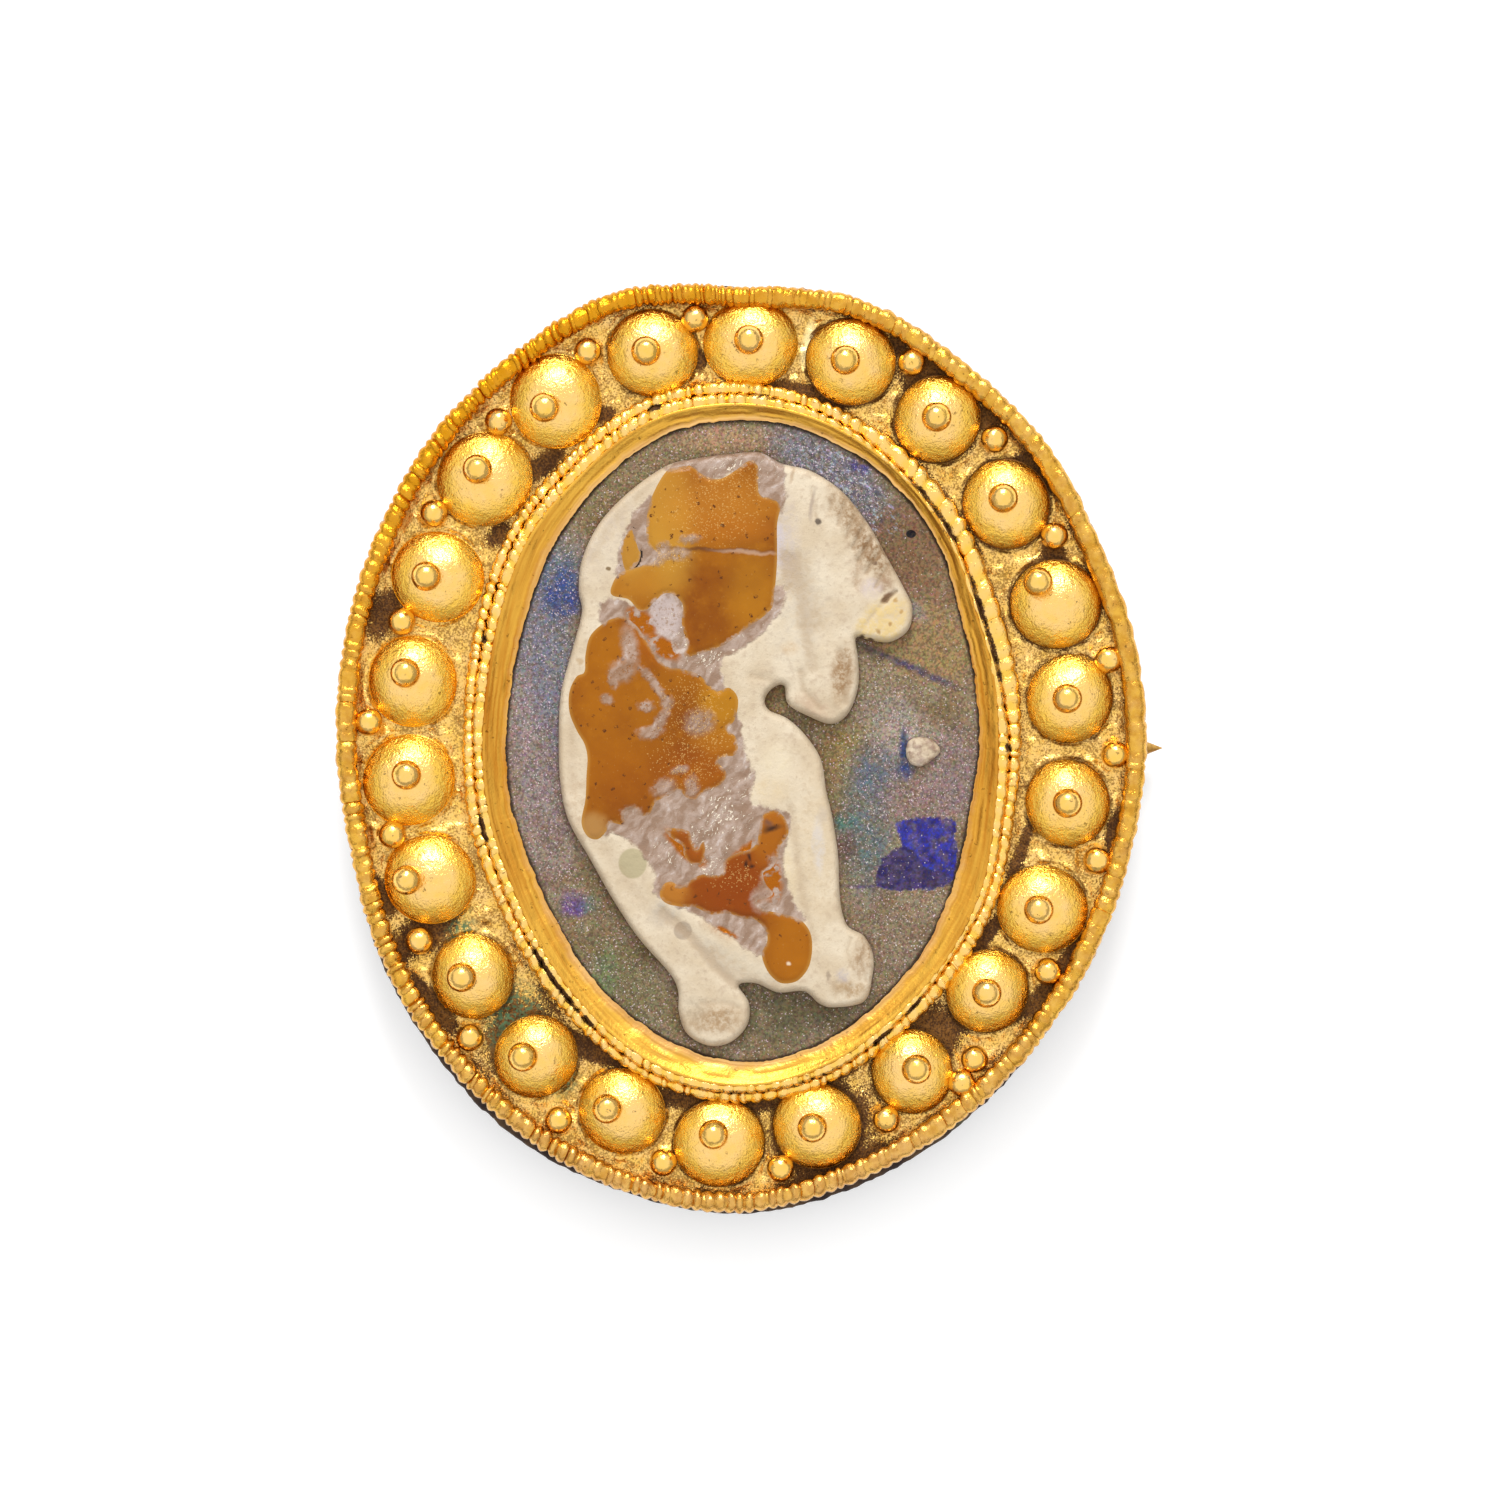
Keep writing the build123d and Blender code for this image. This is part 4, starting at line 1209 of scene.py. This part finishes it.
# The pieces of amber glass let into it, with the small ones that belong to them
AMBER_PX = {
    "amber_back": [
        [
            (666, 473), (679, 468), (692, 467), (702, 475), (719, 480), (736, 471), (750, 461),
            (758, 468), (759, 494), (771, 499), (780, 507), (777, 526), (777, 562), (774, 596),
            (770, 611), (748, 628), (728, 643), (713, 650), (690, 657), (684, 655), (687, 645),
            (682, 624), (683, 606), (675, 596), (665, 594), (655, 602), (646, 611), (638, 610),
            (629, 600), (613, 596), (612, 587), (621, 573), (640, 567), (656, 561), (657, 553),
            (648, 544), (647, 520), (652, 498),
        ],
        [(632, 529), (638, 540), (641, 556), (636, 567), (626, 571), (621, 558), (624, 538)],
    ],
    "amber_flank": [
        [
            (605, 623), (616, 618), (625, 617), (632, 622), (640, 630), (652, 650), (666, 666),
            (682, 669), (699, 675), (709, 685), (718, 691), (729, 688), (737, 696), (738, 707),
            (734, 721), (727, 729), (735, 736), (738, 746), (735, 755), (724, 757), (718, 762),
            (727, 774), (719, 786), (704, 792), (695, 800), (686, 797), (679, 790), (668, 796),
            (656, 802), (650, 814), (640, 815), (636, 809), (625, 812), (624, 824), (611, 823),
            (606, 832), (598, 839), (588, 836), (582, 822), (586, 799), (587, 776), (588, 758),
            (585, 744), (577, 730), (570, 712), (570, 692), (577, 677), (585, 672), (586, 655),
            (591, 636),
        ],
    ],
    "amber_thigh": [
        [
            (762, 816), (769, 811), (778, 811), (787, 822), (788, 834), (781, 845), (777, 860),
            (771, 868), (763, 873), (766, 884), (773, 893), (766, 898), (757, 900), (762, 908),
            (771, 911), (786, 914), (801, 920), (810, 932), (812, 948), (809, 965), (801, 977),
            (792, 982), (780, 982), (770, 974), (764, 963), (762, 952), (767, 941), (766, 931),
            (756, 920), (742, 918), (728, 913), (711, 914), (696, 907), (680, 906), (667, 903),
            (660, 895), (663, 885), (671, 881), (681, 886), (692, 879), (702, 874), (714, 875),
            (723, 872), (724, 861), (736, 853), (750, 849), (757, 842), (759, 830),
        ],
        [
            (665, 829), (676, 828), (689, 831), (692, 841), (697, 849), (704, 841), (705, 855),
            (701, 864), (690, 863), (684, 854), (683, 846), (672, 838),
        ],
    ],
}

# Where the white has turned to crust
CRUST_PX = [
    [
        (665, 470), (700, 453), (735, 449), (770, 450), (783, 462), (783, 512), (760, 500),
        (750, 470), (700, 484),
    ],
    [
        (777, 585), (786, 598), (772, 624), (745, 648), (722, 662), (726, 690), (740, 720),
        (745, 752), (756, 777), (750, 797), (760, 806), (786, 812), (791, 826), (783, 860),
        (789, 885), (795, 903), (806, 920), (780, 925), (768, 935), (766, 956), (748, 948),
        (730, 937), (708, 922), (690, 912), (668, 902), (653, 890), (656, 880), (652, 866),
        (640, 850), (622, 836), (603, 830), (600, 800), (640, 790), (660, 740), (640, 700),
        (610, 640), (598, 612), (612, 598), (640, 606), (656, 590), (680, 594), (690, 640), (710, 640),
        (750, 615),
    ],
    [(630, 520), (652, 498), (656, 540), (666, 552), (650, 566), (634, 570), (618, 585), (618, 560)],
]

# Grooves and ridges of the carving: height, half width, and a line of points
CARVING_PX = [
    (-0.03, 0.10, [(790, 470), (793, 482)]),
    (-0.06, 0.11, [(811, 490), (813, 506), (816, 519)]),
    (-0.06, 0.12, [(836, 493), (829, 512)]),
    (-0.08, 0.12, [(846, 501), (838, 526)]),
    (-0.09, 0.12, [(856, 513), (847, 538)]),
    (-0.10, 0.12, [(865, 525), (853, 549)]),
    (-0.10, 0.12, [(873, 538), (859, 561)]),
    (-0.10, 0.12, [(881, 551), (866, 574)]),
    (-0.09, 0.12, [(889, 565), (875, 588)]),
    (-0.07, 0.12, [(858, 562), (855, 587)]),
    (0.04, 0.10, [(861, 520), (852, 543)]),
    (0.04, 0.10, [(870, 532), (855, 555)]),
    (0.04, 0.10, [(877, 544), (862, 567)]),
    (-0.14, 0.09, [(896, 592), (884, 602)]),
    (-0.05, 0.14, [(884, 602), (870, 618), (860, 634)]),
    (-0.07, 0.45, [(790, 560), (800, 600), (806, 640), (812, 668)]),
    (-0.05, 0.60, [(800, 560), (812, 590), (818, 625)]),
    (-0.05, 0.30, [(779, 510), (781, 560), (786, 590)]),
    (0.05, 0.20, [(822, 652), (828, 688), (840, 712)]),
    (-0.08, 0.22, [(840, 652), (848, 680), (846, 703)]),
    (-0.07, 0.22, [(800, 672), (803, 690), (820, 708)]),
    (-0.06, 0.25, [(786, 690), (770, 680), (752, 676)]),
    (-0.03, 0.35, [(806, 800), (812, 860), (816, 905)]),
    (-0.06, 0.30, [(790, 806), (797, 850), (803, 900), (814, 940)]),
    (0.05, 0.60, [(770, 760), (782, 780)]),
    (-0.10, 0.32, [(664, 912), (690, 935), (715, 965), (735, 984)]),
    (-0.06, 0.35, [(716, 950), (745, 975), (775, 985)]),
    (-0.05, 0.50, [(600, 840), (630, 885), (660, 925)]),
    (-0.06, 0.10, [(851, 938), (847, 950), (850, 966)]),
    (-0.07, 0.14, [(865, 944), (861, 962), (866, 980)]),
    (-0.05, 0.09, [(836, 982), (835, 1000)]),
    (-0.06, 0.10, [(851, 986), (849, 996)]),
    (-0.06, 0.10, [(695, 1014), (699, 1034)]),
    (-0.05, 0.14, [(711, 1010), (713, 1022)]),
    (-0.06, 0.10, [(727, 1012), (730, 1030)]),
    (-0.05, 0.20, [(702, 1003), (724, 1002), (738, 1007)]),
    (-0.05, 0.40, [(575, 660), (572, 720), (573, 790)]),
    (-0.05, 0.40, [(592, 560), (612, 525), (645, 492)]),
]
relief_bottom = level("white_lion", 0)
relief_top = level("white_lion", 1)
amber_bottom = level("amber_back", 0)
amber_loops = {name: [traced(outline) for outline in outlines] for name, outlines in AMBER_PX.items()}
crust_loops = [traced(outline) for outline in CRUST_PX]


def crust_depth(x, y):
    """How far inside the crust places are."""
    return np.max([depth_inside(x, y, loop) for loop in crust_loops], 0)


def lion_height(x, y):
    """Top of the figure: rounded at its edge, with its carving and its crust."""
    depth = nearest_on(x, y, np.append(lion_loop, lion_loop[:1], 0))[0]
    edge = np.clip(depth / BEVEL, 0, 1)
    body = np.clip(depth / 2.2, 0, 1)
    rise = 0.88 * np.sqrt(1 - (1 - edge) ** 2) + 0.12 * np.sin(body * pi / 2)
    height = relief_bottom + FIGURE_FOOT + (relief_top - relief_bottom - FIGURE_FOOT) * rise
    for deep, width, line in CARVING_PX:
        far = nearest_on(x, y, [photo(*point) for point in line])[0]
        height += deep * np.exp(-((far / width) ** 2)) * edge
    crust = np.clip(crust_depth(x, y) / 0.3 + 0.5, 0, 1)
    height += edge * (0.02 * lumps(x, y, 0.9, 81) + 0.008 * lumps(x, y, 0.25, 82))
    height += crust * (0.04 * lumps(x, y, 0.7, 83) + 0.015 * lumps(x, y, 0.25, 84) - 0.05)
    return np.minimum(height, relief_top + 0.02)


all_ambers = [loop for loops in amber_loops.values() for loop in loops]
lion_points, lion_faces = relief(
    lion_loop, LION_MESH, relief_bottom, lion_height, all_ambers, amber_bottom - 0.05
)

# Stains on the white, and a few patches of painted shade
STAINS_PX = [
    # x, y, half width, half height, turn, softness, colour, strength
    (815, 850, 26, 84, -8, 0.8, screen(214, 192, 156), 0.5),
    (612, 885, 30, 60, -35, 0.8, screen(206, 186, 156), 0.5),
    (846, 512, 13, 24, 35, 0.7, screen(158, 126, 90), 1.0),
    (870, 552, 14, 30, 35, 0.6, screen(146, 112, 76), 1.0),
    (858, 578, 8, 18, 10, 0.7, screen(186, 158, 130), 0.7),
    (882, 584, 11, 10, 35, 0.5, screen(160, 128, 98), 0.8),
    (812, 506, 2, 15, -10, 0.7, screen(176, 158, 140), 0.8),
    (792, 476, 2, 8, -15, 0.7, screen(184, 156, 124), 0.7),
    (800, 610, 24, 50, -8, 0.8, screen(214, 206, 190), 0.4),
    (788, 540, 9, 36, 0, 0.8, screen(202, 190, 184), 0.6),
    (842, 674, 10, 26, -8, 0.5, screen(158, 124, 86), 1.0),
    (871, 588, 10, 9, 0, 0.5, screen(212, 196, 190), 0.8),
    (777, 545, 7, 24, 0, 0.6, screen(204, 196, 204), 0.8),
    # Painted shade under the muzzle
    (814, 706, 18, 9, -25, 0.6, screen(196, 168, 140), 0.7),
    (790, 648, 8, 6, 0, 0.6, screen(206, 172, 128), 0.5),
    (603, 540, 24, 44, -35, 0.8, screen(202, 188, 172), 0.4),
    (570, 730, 10, 60, 0, 0.8, screen(208, 188, 160), 0.4),
    (580, 800, 12, 30, 0, 0.8, screen(200, 174, 142), 0.5),
    (662, 510, 12, 40, 10, 0.6, screen(210, 186, 156), 0.6),
    (818, 845, 6, 28, 3, 0.3, screen(212, 202, 192), 0.8),
    (822, 815, 5, 8, 0, 0.6, screen(196, 180, 160), 0.6),
    (785, 880, 8, 30, 0, 0.8, screen(232, 212, 172), 0.6),
    (863, 954, 10, 20, -15, 0.5, screen(168, 138, 104), 0.9),
    (850, 987, 15, 9, 0, 0.7, screen(176, 146, 108), 0.9),
    (842, 975, 6, 6, 0, 0.6, screen(176, 170, 180), 0.6),
    (828, 975, 2, 4, 0, 0.6, screen(150, 130, 110), 0.7),
    (714, 1018, 26, 14, 0, 0.6, screen(170, 138, 100), 0.9),
    (694, 1008, 12, 12, 0, 0.6, screen(184, 170, 146), 0.5),
    (633, 863, 14, 15, 0, 0.08, screen(184, 170, 134), 1.0),
    (683, 930, 9, 9, 0, 0.1, screen(178, 160, 138), 1.0),
    (668, 908, 14, 20, -40, 0.5, screen(200, 188, 170), 0.7),
    # These two are painted shade along the valleys between the thigh and the hind leg
    (715, 955, 34, 9, -42, 0.6, screen(206, 192, 170), 0.8),
    (745, 965, 34, 12, -30, 0.6, screen(214, 200, 176), 0.7),
    (726, 926, 18, 10, -20, 0.6, screen(190, 142, 100), 0.7),
    (776, 762, 14, 16, 0, 0.7, screen(230, 214, 180), 0.6),
    (768, 790, 18, 12, 0, 0.7, screen(226, 204, 164), 0.6),
    (882, 622, 30, 20, 40, 0.25, screen(224, 196, 136), 0.95),
    (862, 638, 3, 3, 0, 0.4, screen(72, 52, 34), 0.9),
    (870, 640, 3, 2, 0, 0.4, screen(90, 66, 42), 0.9),
    (886, 598, 7, 3, 40, 0.5, screen(120, 82, 52), 0.9),
    (895, 601, 2, 2, 0, 0.6, screen(190, 150, 90), 0.9),
    (901, 612, 2, 2, 0, 0.6, screen(190, 150, 90), 0.9),
    (890, 625, 2, 2, 0, 0.6, screen(184, 144, 86), 0.9),
    (878, 632, 2, 2, 0, 0.6, screen(176, 138, 84), 0.9),
    (817, 522, 3, 3, 0, 0.4, screen(84, 70, 58), 0.9),
    (609, 569, 2, 2, 0, 0.5, screen(120, 92, 52), 0.9),
    (874, 564, 2, 2, 0, 0.5, screen(110, 84, 64), 0.9),
    (580, 662, 3, 3, 0, 0.5, screen(190, 160, 120), 0.7),
]


# Where amber is left under the crust
AMBER_LEFT_PX = [
    # x, y, half width, half height, turn
    (686, 848, 25, 9, -42),
    (770, 878, 12, 22, 8),
    (712, 896, 44, 11, -4),
    (748, 852, 18, 8, 30),
    (722, 932, 15, 5, -20),
    (642, 622, 17, 10, -42),
    (664, 648, 18, 9, -35),
]
# Where the crust's fibres are painted brightest, as highlights
SHINE_PX = [
    # x, y, half width, half height, turn
    (722, 815, 34, 26, 30),
    (700, 650, 40, 20, -35),
    (708, 866, 14, 14, 0),
    (745, 468, 44, 12, 0),
    (756, 780, 14, 12, 0),
    (672, 850, 24, 18, 0),
]


def crust_colour(finish):
    """The crust's pinkish grey, with paler films and bright fibres painted as highlights, and its relief."""
    slant = finish.node("Mapping", {"vector_type": "TEXTURE"}, {
        "Vector": finish.warped(1.2, 0.6, 7.0), "Rotation": (0.0, 0.0, radians(50)),
        "Scale": (2.6, 1.0, 1.0),
    })
    films = finish.noise(0.4, 3.0, 8.0, slant)
    fine = finish.noise(0.14, 3.0, 9.0)
    tint = finish.mix(finish.step(films, 0.38, 0.62), screen(150, 120, 98), screen(182, 158, 142))
    tint = finish.mix(finish.step(films + fine * 0.3, 0.76, 0.84) * 0.6, tint, screen(210, 196, 188))
    tint = finish.mix(finish.step(fine, 0.5, 0.3) * 0.25, tint, screen(148, 112, 86))
    fibre = finish.noise(0.09, 3.0, 5.0, slant)
    shine = 0.0
    for place in SHINE_PX:
        shine = patch(finish, *place, soft=0.8) + shine
    # Bright fibres painted as highlights
    bright = finish.step(fibre + shine.kept() * 0.12, 0.68, 0.74)
    film = patch(finish, 666, 616, 15, 22, 15, 0.3, finish.warped(0.5, 0.22, 4.0))
    tint = finish.mix(film * finish.step(fine, 0.3, 0.5) * 0.7, tint, screen(200, 184, 180))
    return finish.mix(bright * 0.8, tint, screen(255, 240, 216)), films + fine * 0.3 + bright * 0.3


lion_finish = Finish("white_glass", {"IOR": 1.5, "Specular IOR Level": 0.3})
cloud = lion_finish.noise(1.4, 4.0, 1.0)
mottle = lion_finish.noise(0.3, 4.0, 2.0)
fine = lion_finish.noise(0.09, 3.0, 3.0)
white = lion_finish.mix(
    lion_finish.step(cloud, 0.3, 0.7), screen(208, 188, 158), screen(224, 208, 182)
)
white = lion_finish.mix(lion_finish.step(mottle, 0.5, 0.72) * 0.65, white, screen(192, 170, 144))
white = lion_finish.mix(lion_finish.step(fine, 0.56, 0.76) * 0.45, white, screen(176, 152, 122))
loose = lion_finish.warped(0.5, 0.22, 4.0)
for x, y, half_width, half_height, turn, soft, tint, strength in STAINS_PX:
    spot = patch(lion_finish, x, y, half_width, half_height, turn, soft, loose if soft > 0.2 else None)
    if min(half_width, half_height) > 5 and soft > 0.2:
        spot = spot * (lion_finish.step(mottle + fine * 0.6, 0.62, 0.95) * 0.7 + 0.3)
    white = lion_finish.mix(spot * strength, white, tint)
carved = lion_finish.step(lion_finish.shade("carved") + (mottle - 0.5) * 0.1, -0.02, -0.1)
white = lion_finish.mix(carved * 0.5, white, screen(164, 136, 104))
crust = lion_finish.step(lion_finish.shade("crust") + (mottle - 0.5) * 0.6, -0.08, 0.12)
crust_tint, crust_relief = crust_colour(lion_finish)
amber_left = 0.0
for place in AMBER_LEFT_PX:
    amber_left = patch(lion_finish, *place, soft=0.3, place=loose) + amber_left
amber_left = amber_left.kept() * crust * lion_finish.step(lion_finish.noise(0.5, 4.0, 6.0), 0.6, 0.52)
crust_tint = lion_finish.mix(amber_left, crust_tint, screen(176, 98, 12))
lion_finish.set(
    Base_Color=lion_finish.mix(crust, white, crust_tint),
    Metallic=amber_left * 0.75,
    Roughness=0.62 - crust * 0.25,
    Normal=lion_finish.bump(fine, 0.022, lion_finish.bump(mottle, 0.04, lion_finish.bump(crust_relief * crust, 0.05))),
)


def carving(x, y):
    """How deep the carving is cut, less than 0 in its grooves."""
    cut = np.zeros_like(x)
    for deep, width, line in CARVING_PX:
        cut += deep * np.exp(-((nearest_on(x, y, [photo(*point) for point in line])[0] / width) ** 2))
    return cut


show(
    "white_lion", lion_points, lion_faces, lion_finish, "white_lion",
    {
        "crust": crust_depth(lion_points[:, 0], lion_points[:, 1]),
        "carved": carving(lion_points[:, 0], lion_points[:, 1]),
    },
    crease=50,
)

# Amber glass
# Inlays of clear amber glass, ground level with the white and polished. They are richest where
# they are thick, and gold flakes and grey scale lie on them where their surface has split.
# The flakes' glints and one bright dot on the thigh are painted highlights.

AMBER_MESH = 0.08
AMBER_ROUND = 0.3
AMBERS_PX = [
    # x, y, half width, half height, turn, softness, colour, strength
    (668, 530, 26, 64, 0, 0.5, screen(196, 142, 48), 0.8),
    (632, 584, 30, 20, 0, 0.6, screen(190, 128, 36), 0.6),
    (632, 550, 14, 28, 0, 0.6, screen(186, 132, 46), 0.9),
    (720, 505, 50, 30, 0, 0.8, screen(192, 122, 36), 0.7),
    (752, 590, 24, 40, 0, 0.7, screen(186, 124, 24), 0.5),
    (730, 530, 40, 12, 0, 0.8, screen(176, 100, 18), 0.5),
    (722, 705, 22, 22, 0, 0.5, screen(190, 130, 24), 0.7),
    (718, 742, 26, 14, 0, 0.5, screen(186, 120, 26), 0.6),
    (600, 700, 34, 60, 0, 0.8, screen(176, 106, 8), 0.5),
    (625, 775, 34, 30, 0, 0.9, screen(160, 88, 0), 0.6),
    (700, 770, 40, 26, 0, 0.7, screen(156, 78, 6), 0.5),
    (592, 828, 16, 14, 0, 0.5, screen(178, 132, 72), 0.8),
    (660, 640, 24, 20, 30, 0.7, screen(178, 94, 10), 0.5),
    (735, 885, 60, 34, 0, 0.6, screen(140, 62, 0), 0.9),
    (770, 835, 16, 30, 0, 0.6, screen(170, 98, 16), 0.7),
    (790, 945, 24, 36, 0, 0.6, screen(172, 102, 10), 0.8),
    (672, 892, 16, 14, 0, 0.6, screen(184, 118, 40), 0.8),
    (773, 822, 12, 14, 0, 0.6, screen(166, 96, 20), 0.6),
    (690, 845, 20, 18, 0, 0.6, screen(148, 72, 12), 0.7),
    (720, 551, 55, 2, -2, 0.7, screen(96, 52, 24), 0.8),
    (748, 553, 30, 2, -3, 0.7, screen(206, 168, 140), 0.6),
    (772, 828, 8, 3, 15, 0.9, screen(40, 24, 20), 0.9),
    (768, 823, 4, 3, -30, 0.9, screen(110, 76, 60), 0.8),
    (749, 857, 2, 4, 20, 0.9, screen(40, 24, 16), 0.9),
    (746, 864, 2, 3, 0, 0.9, screen(40, 24, 16), 0.9),
    (752, 865, 2, 2, 0, 0.9, screen(50, 28, 16), 0.9),
    # A painted highlight: a glint on the thigh
    (789, 963, 2, 2, 0, 0.6, screen(240, 220, 190), 0.8),
]
SCALE_PX = [
    # x, y, half width, half height, turn
    (630, 648, 8, 20, 12), (622, 672, 12, 10, 0), (613, 680, 4, 8, 20), (648, 676, 4, 12, 40),
    (660, 692, 4, 12, 35), (668, 703, 6, 6, 0), (660, 722, 5, 16, -30), (650, 732, 12, 6, 10),
    (647, 706, 8, 5, 0), (607, 699, 6, 5, 0), (664, 787, 12, 8, 20), (692, 787, 7, 11, 0),
    (632, 812, 9, 6, 0), (769, 882, 8, 11, 0), (761, 899, 10, 12, 0), (700, 722, 14, 12, 20),
    (675, 555, 14, 6, 0), (655, 560, 9, 6, 0), (664, 547, 6, 5, 0), (690, 540, 10, 4, 10),
    (768, 478, 8, 16, 0), (774, 862, 6, 8, 0), (640, 625, 12, 6, -30), (680, 770, 8, 4, 20),
]
# Where the painted glints of the flakes lie thickest
GLINTS_PX = [
    # x, y, half width, half height
    (715, 510, 40, 30), (740, 480, 30, 18), (700, 740, 34, 30), (690, 765, 30, 20),
    (690, 700, 24, 18), (738, 876, 22, 12), (665, 560, 20, 10),
]
amber_finish = Finish("amber_glass", {"IOR": 1.52, "Specular IOR Level": 0.12})
cloud = amber_finish.noise(2.2, 4.0, 1.0)
mottle = amber_finish.noise(0.35, 4.0, 2.0)
fine = amber_finish.noise(0.08, 2.0, 3.0)
amber = amber_finish.mix(amber_finish.step(cloud, 0.3, 0.7), screen(128, 64, 0), screen(162, 96, 8))
amber = amber_finish.mix(amber_finish.step(mottle, 0.5, 0.75) * 0.3, amber, screen(180, 112, 20))
loose = amber_finish.warped(0.5, 0.2, 4.0)
for x, y, half_width, half_height, turn, soft, tint, strength in AMBERS_PX:
    spot = patch(amber_finish, x, y, half_width, half_height, turn, soft, loose)
    amber = amber_finish.mix(spot * strength, amber, tint)
thin = amber_finish.step(amber_finish.shade("depth"), 0.22, 0.0)
amber = amber_finish.mix(thin * 0.45, amber, screen(196, 146, 66))
specks = channel(amber_finish, cells(amber_finish, 0.16, 6.0), "Blue")
amber = amber_finish.mix(
    amber_finish.step(specks, 0.97, 0.98) * amber_finish.step(fine, 0.4, 0.6), amber, screen(96, 50, 14)
)
torn = amber_finish.warped(0.25, 0.25, 5.0)
scale = 0.0
for scab in SCALE_PX:
    scale = patch(amber_finish, *scab, soft=0.5, place=torn) + scale
scale = scale.kept() * amber_finish.step(mottle + fine * 0.5, 0.48, 0.72)
depth = amber_finish.shade("depth")
near_crust = amber_finish.step(amber_finish.shade("crust") + (mottle - 0.5) * 0.4, -0.1, 0.1)
creep = amber_finish.step(depth + (mottle - 0.5) * 0.8, 0.14, -0.04) * near_crust
scale = (scale + creep * 0.85).kept()
crust_tint, crust_relief = crust_colour(amber_finish)
amber_flakes = cells(amber_finish, 0.05, 2.0)
glitter = 0.0
for shine in GLINTS_PX:
    glitter = patch(amber_finish, *shine, soft=0.8, place=loose) + glitter
glitter = glitter.kept() * 0.11 + 0.012
glitter = amber_finish.step(channel(amber_finish, amber_flakes, "Red") + glitter, 1.0, 1.03)
amber = amber_finish.mix(scale * 0.85, amber, crust_tint)
# Pale glints painted on the gold flakes, as highlights
amber = amber_finish.mix(glitter * 0.4, amber, screen(255, 210, 130))
amber_finish.set(
    Base_Color=amber,
    Metallic=glitter * 0.5,
    Roughness=0.24 + scale * 0.4,
    Normal=amber_finish.bump(fine, 0.006, amber_finish.bump(scale * crust_relief, 0.05)),
)
for name, loops in amber_loops.items():
    shapes = []
    depths, crusts = [], []
    for loop in loops:

        def amber_height(x, y):
            """Top of an inlay, level with the white at its edge and swelling just above it."""
            depth = nearest_on(x, y, np.append(loop, loop[:1], 0))[0]
            edge = np.clip(depth / AMBER_ROUND, 0, 1)
            swell = relief_top + 0.03 + 0.02 * lumps(x, y, 1.5, 91) + 0.01 * lumps(x, y, 0.4, 92)
            return lion_height(x, y) * (1 - edge) + swell * edge

        shapes.append(relief(loop, AMBER_MESH, amber_bottom, amber_height))
        x, y, _ = shapes[-1][0].T
        depths.append(depth_inside(x, y, loop))
        crusts.append(crust_depth(x, y))
    points, faces = joined(shapes)
    show(
        name, points, faces, amber_finish, name,
        {"depth": np.concatenate(depths), "crust": np.concatenate(crusts)},
    )

# White fleck
# A chip of the same white glass, stuck fast on the ground beside the lion.

FLECK_PX = [(940, 750), (932, 740), (918, 737), (908, 742), (906, 754), (911, 764), (922, 766), (934, 758)]
FLECK_MESH = 0.04
fleck_loop = traced(FLECK_PX)
fleck_bottom = level("white_fleck", 0)
fleck_top = level("white_fleck", 1)


def fleck_height(x, y):
    """Top of the chip, worn round."""
    depth = nearest_on(x, y, np.append(fleck_loop, fleck_loop[:1], 0))[0]
    edge = np.clip(depth / 0.45, 0, 1)
    rise = np.sqrt(1 - (1 - edge) ** 2)
    return fleck_bottom + 0.08 + (fleck_top - fleck_bottom - 0.12) * rise + 0.02 * lumps(x, y, 0.4, 95)


fleck_points, fleck_faces = relief(fleck_loop, FLECK_MESH, fleck_bottom, fleck_height)
show("white_fleck", fleck_points, fleck_faces, lion_finish, "white_fleck")

# The table, the lights and the camera
# The brooch lies on a white table, lit by a softbox beyond its top and a wide one overhead.
# The camera looks straight down on it from far enough that the sides of the bosses stay hidden.

FIELD = 75.0
LENS = 150.0
FACE_HEIGHT = 5.0
PHOTO_MIDDLE = (750, 750)

table_mesh = bpy.data.meshes.new("table")
table_mesh.from_pydata([(-1.5, -1.5, 0), (1.5, -1.5, 0), (1.5, 1.5, 0), (-1.5, 1.5, 0)], [], [(0, 1, 2, 3)])
table = bpy.data.objects.new("table", table_mesh)
bpy.context.scene.collection.objects.link(table)
table_finish = Finish("white_table", {"Base Color": (0.9, 0.9, 0.9, 1.0), "Roughness": 0.9})
table_finish.set(Emission_Color=(1.0, 1.0, 1.0))
table_finish.shader.inputs["Emission Strength"].default_value = 0.21
table_mesh.materials.append(table_finish.material)


def softbox(name, lean, distance, size, brightness, colour=(1.0, 1.0, 1.0)):
    """A square light that leans from overhead towards +Y by an angle and faces the brooch."""
    light = bpy.data.lights.new(name, "AREA")
    light.size = size
    light.energy = brightness * pi * size**2
    light.color = colour
    lamp = bpy.data.objects.new(name, light)
    lamp.location = (0, distance * sin(radians(lean)), distance * cos(radians(lean)))
    lamp.rotation_euler = (-radians(lean), 0, 0)
    bpy.context.scene.collection.objects.link(lamp)


softbox("key_softbox", 54, 0.6, 0.22, 17.0)
softbox("overhead_softbox", 4, 0.8, 3.2, 0.7)

world = bpy.data.worlds.new("studio")
world.use_nodes = True
world.node_tree.nodes["Background"].inputs["Color"].default_value = (0.5, 0.5, 0.5, 1.0)
bpy.context.scene.world = world

camera = bpy.data.objects.new("camera", bpy.data.cameras.new("camera"))
camera.data.lens = LENS
distance = FIELD * LENS / camera.data.sensor_width
middle = photo(*PHOTO_MIDDLE)
camera.location = (middle[0] * MM, middle[1] * MM, (FACE_HEIGHT + distance) * MM)
bpy.context.scene.collection.objects.link(camera)
bpy.context.scene.camera = camera
bpy.context.scene.view_settings.view_transform = "Standard"
